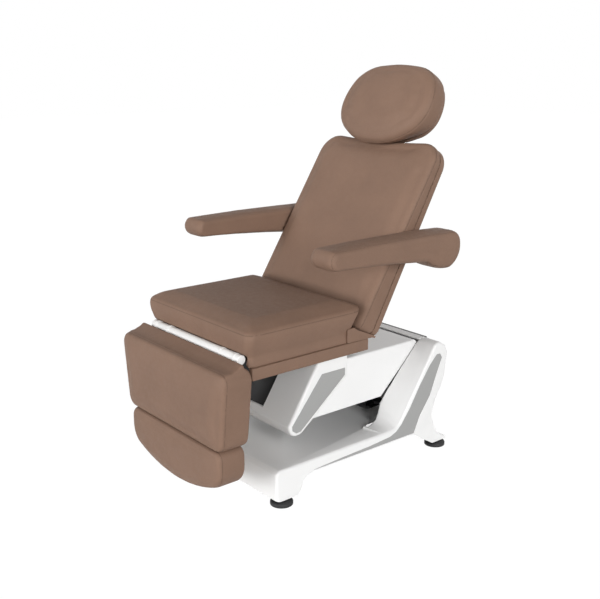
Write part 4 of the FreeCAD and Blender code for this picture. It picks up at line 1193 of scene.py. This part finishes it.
@dataclass
class Studio:
    """Pale floor, soft light and the camera."""

    eye: Triple = (2.3786, -1.965675, 1.4317)
    target: Triple = (0.1657, -0.134475, 0.6576)
    lens: float = 53.286
    sensor: float = 36
    ambient: float = 0.72
    zenith: float = 0.05
    zenith_from: float = 0.8
    lamp_spread: float = 25
    lamps: Sequence[Tuple[str, float, Triple]] = (
        ("front_light", 1.85, (-0.15, -0.97, 0.14)), ("side_light", 2.10, (0.95, -0.25, 0.30)))
    floor_size: float = 40
    floor_colour: Colour = (0.8, 0.8, 0.8)
    glow: float = 1.04
    glow_share: float = 0.955

    def build(self) -> None:
        """Set up the stage, the lamps and the camera."""
        scene = bpy.context.scene
        scene.view_settings.view_transform = "Standard"
        bpy.ops.object.select_all(action="DESELECT")
        bpy.ops.object.camera_add(location=self.eye)
        camera = bpy.context.object
        way = Vector(self.eye) - Vector(self.target)
        camera.rotation_euler = way.to_track_quat("Z", "Y").to_euler()
        camera.data.lens = self.lens
        camera.data.sensor_width = self.sensor
        camera.data.sensor_fit = "HORIZONTAL"
        scene.camera = camera
        for name, strength, source in self.lamps:
            bpy.ops.object.light_add(type="SUN", rotation=Vector(source).to_track_quat("Z", "Y").to_euler())
            lamp = bpy.context.object
            lamp.name = name
            lamp.data.energy = strength
            lamp.data.angle = np.radians(self.lamp_spread)
        self.light_world()
        self.lay_floor()

    @staticmethod
    def show(sheet: Sheet, unseen: bpy.types.Node, seen: bpy.types.Node, output: str) -> None:
        """Show one shader to the camera, mirrors and glass, and leave another for the light.

        Args:
            sheet: The node tree.
            unseen: Shader for all other rays.
            seen: Shader for the rays that the camera, a mirror or glass sees.
            output: Name of the output node.
        """
        path = sheet.node("LightPath").outputs
        share = path["Is Camera Ray"]
        for kind in ("Is Glossy Ray", "Is Transmission Ray"):
            most = sheet.node("Math", _0=share, _1=path[kind])
            most.operation = "MAXIMUM"
            share = most.outputs[0]
        mix = sheet.node("MixShader", _0=share, _1=unseen.outputs[0], _2=seen.outputs[0])
        sheet.fill(sheet.tree.nodes[output], Surface=mix.outputs[0])

    def light_world(self) -> None:
        """Soft light from all round, and a white background where it is seen."""
        world = bpy.data.worlds.new("studio")
        bpy.context.scene.world = world
        world.use_nodes = True
        sheet = Sheet(world.node_tree)
        place = sheet.node("TexCoord").outputs["Generated"]
        height = sheet.node("SeparateXYZ", Vector=place).outputs["Z"]
        level = sheet.node("MapRange", Value=height, From_Max=self.zenith_from, To_Min=self.ambient,
                           To_Max=self.zenith)
        soft = sheet.tree.nodes["Background"]
        sheet.fill(soft, Color=WHITE, Strength=level.outputs["Result"])
        self.show(sheet, soft, sheet.node("Background", Color=WHITE), "World Output")

    def lay_floor(self) -> None:
        """A plain pale floor that keeps a faint shadow."""
        bpy.ops.object.select_all(action="DESELECT")
        bpy.ops.mesh.primitive_plane_add(size=self.floor_size)
        floor = bpy.context.object
        floor.name = "studio_floor"
        material = bpy.data.materials.new("studio_floor")
        material.use_nodes = True
        sheet = Sheet(material.node_tree)
        sheet.tree.nodes.remove(sheet.tree.nodes["Principled BSDF"])
        matt = sheet.node("BsdfDiffuse", Color=(*self.floor_colour, 1))
        glow = sheet.node("Emission", Strength=self.glow)
        pale = sheet.node("MixShader", _0=self.glow_share, _1=matt.outputs[0], _2=glow.outputs[0])
        self.show(sheet, matt, pale, "Material Output")
        floor.data.materials.append(material)


def main() -> None:
    """Load the frame, build every sub-assembly and finish the CAD nodes that stay."""
    logging.basicConfig(level=logging.INFO, format="%(name)s: %(message)s")
    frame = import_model()
    bpy.ops.object.select_all(action="DESELECT")
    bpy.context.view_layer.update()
    shop = Workshop(frame["nodes"], make_finishes())
    Studio().build()
    for assembly in (BaseCasing, ArmCasing, NoseCasing, Fittings, Upholstery):
        LOG.info("building %s", assembly.__name__)
        assembly(shop).build()
    shop.dress_rest()


if __name__ == "__main__":
    main()
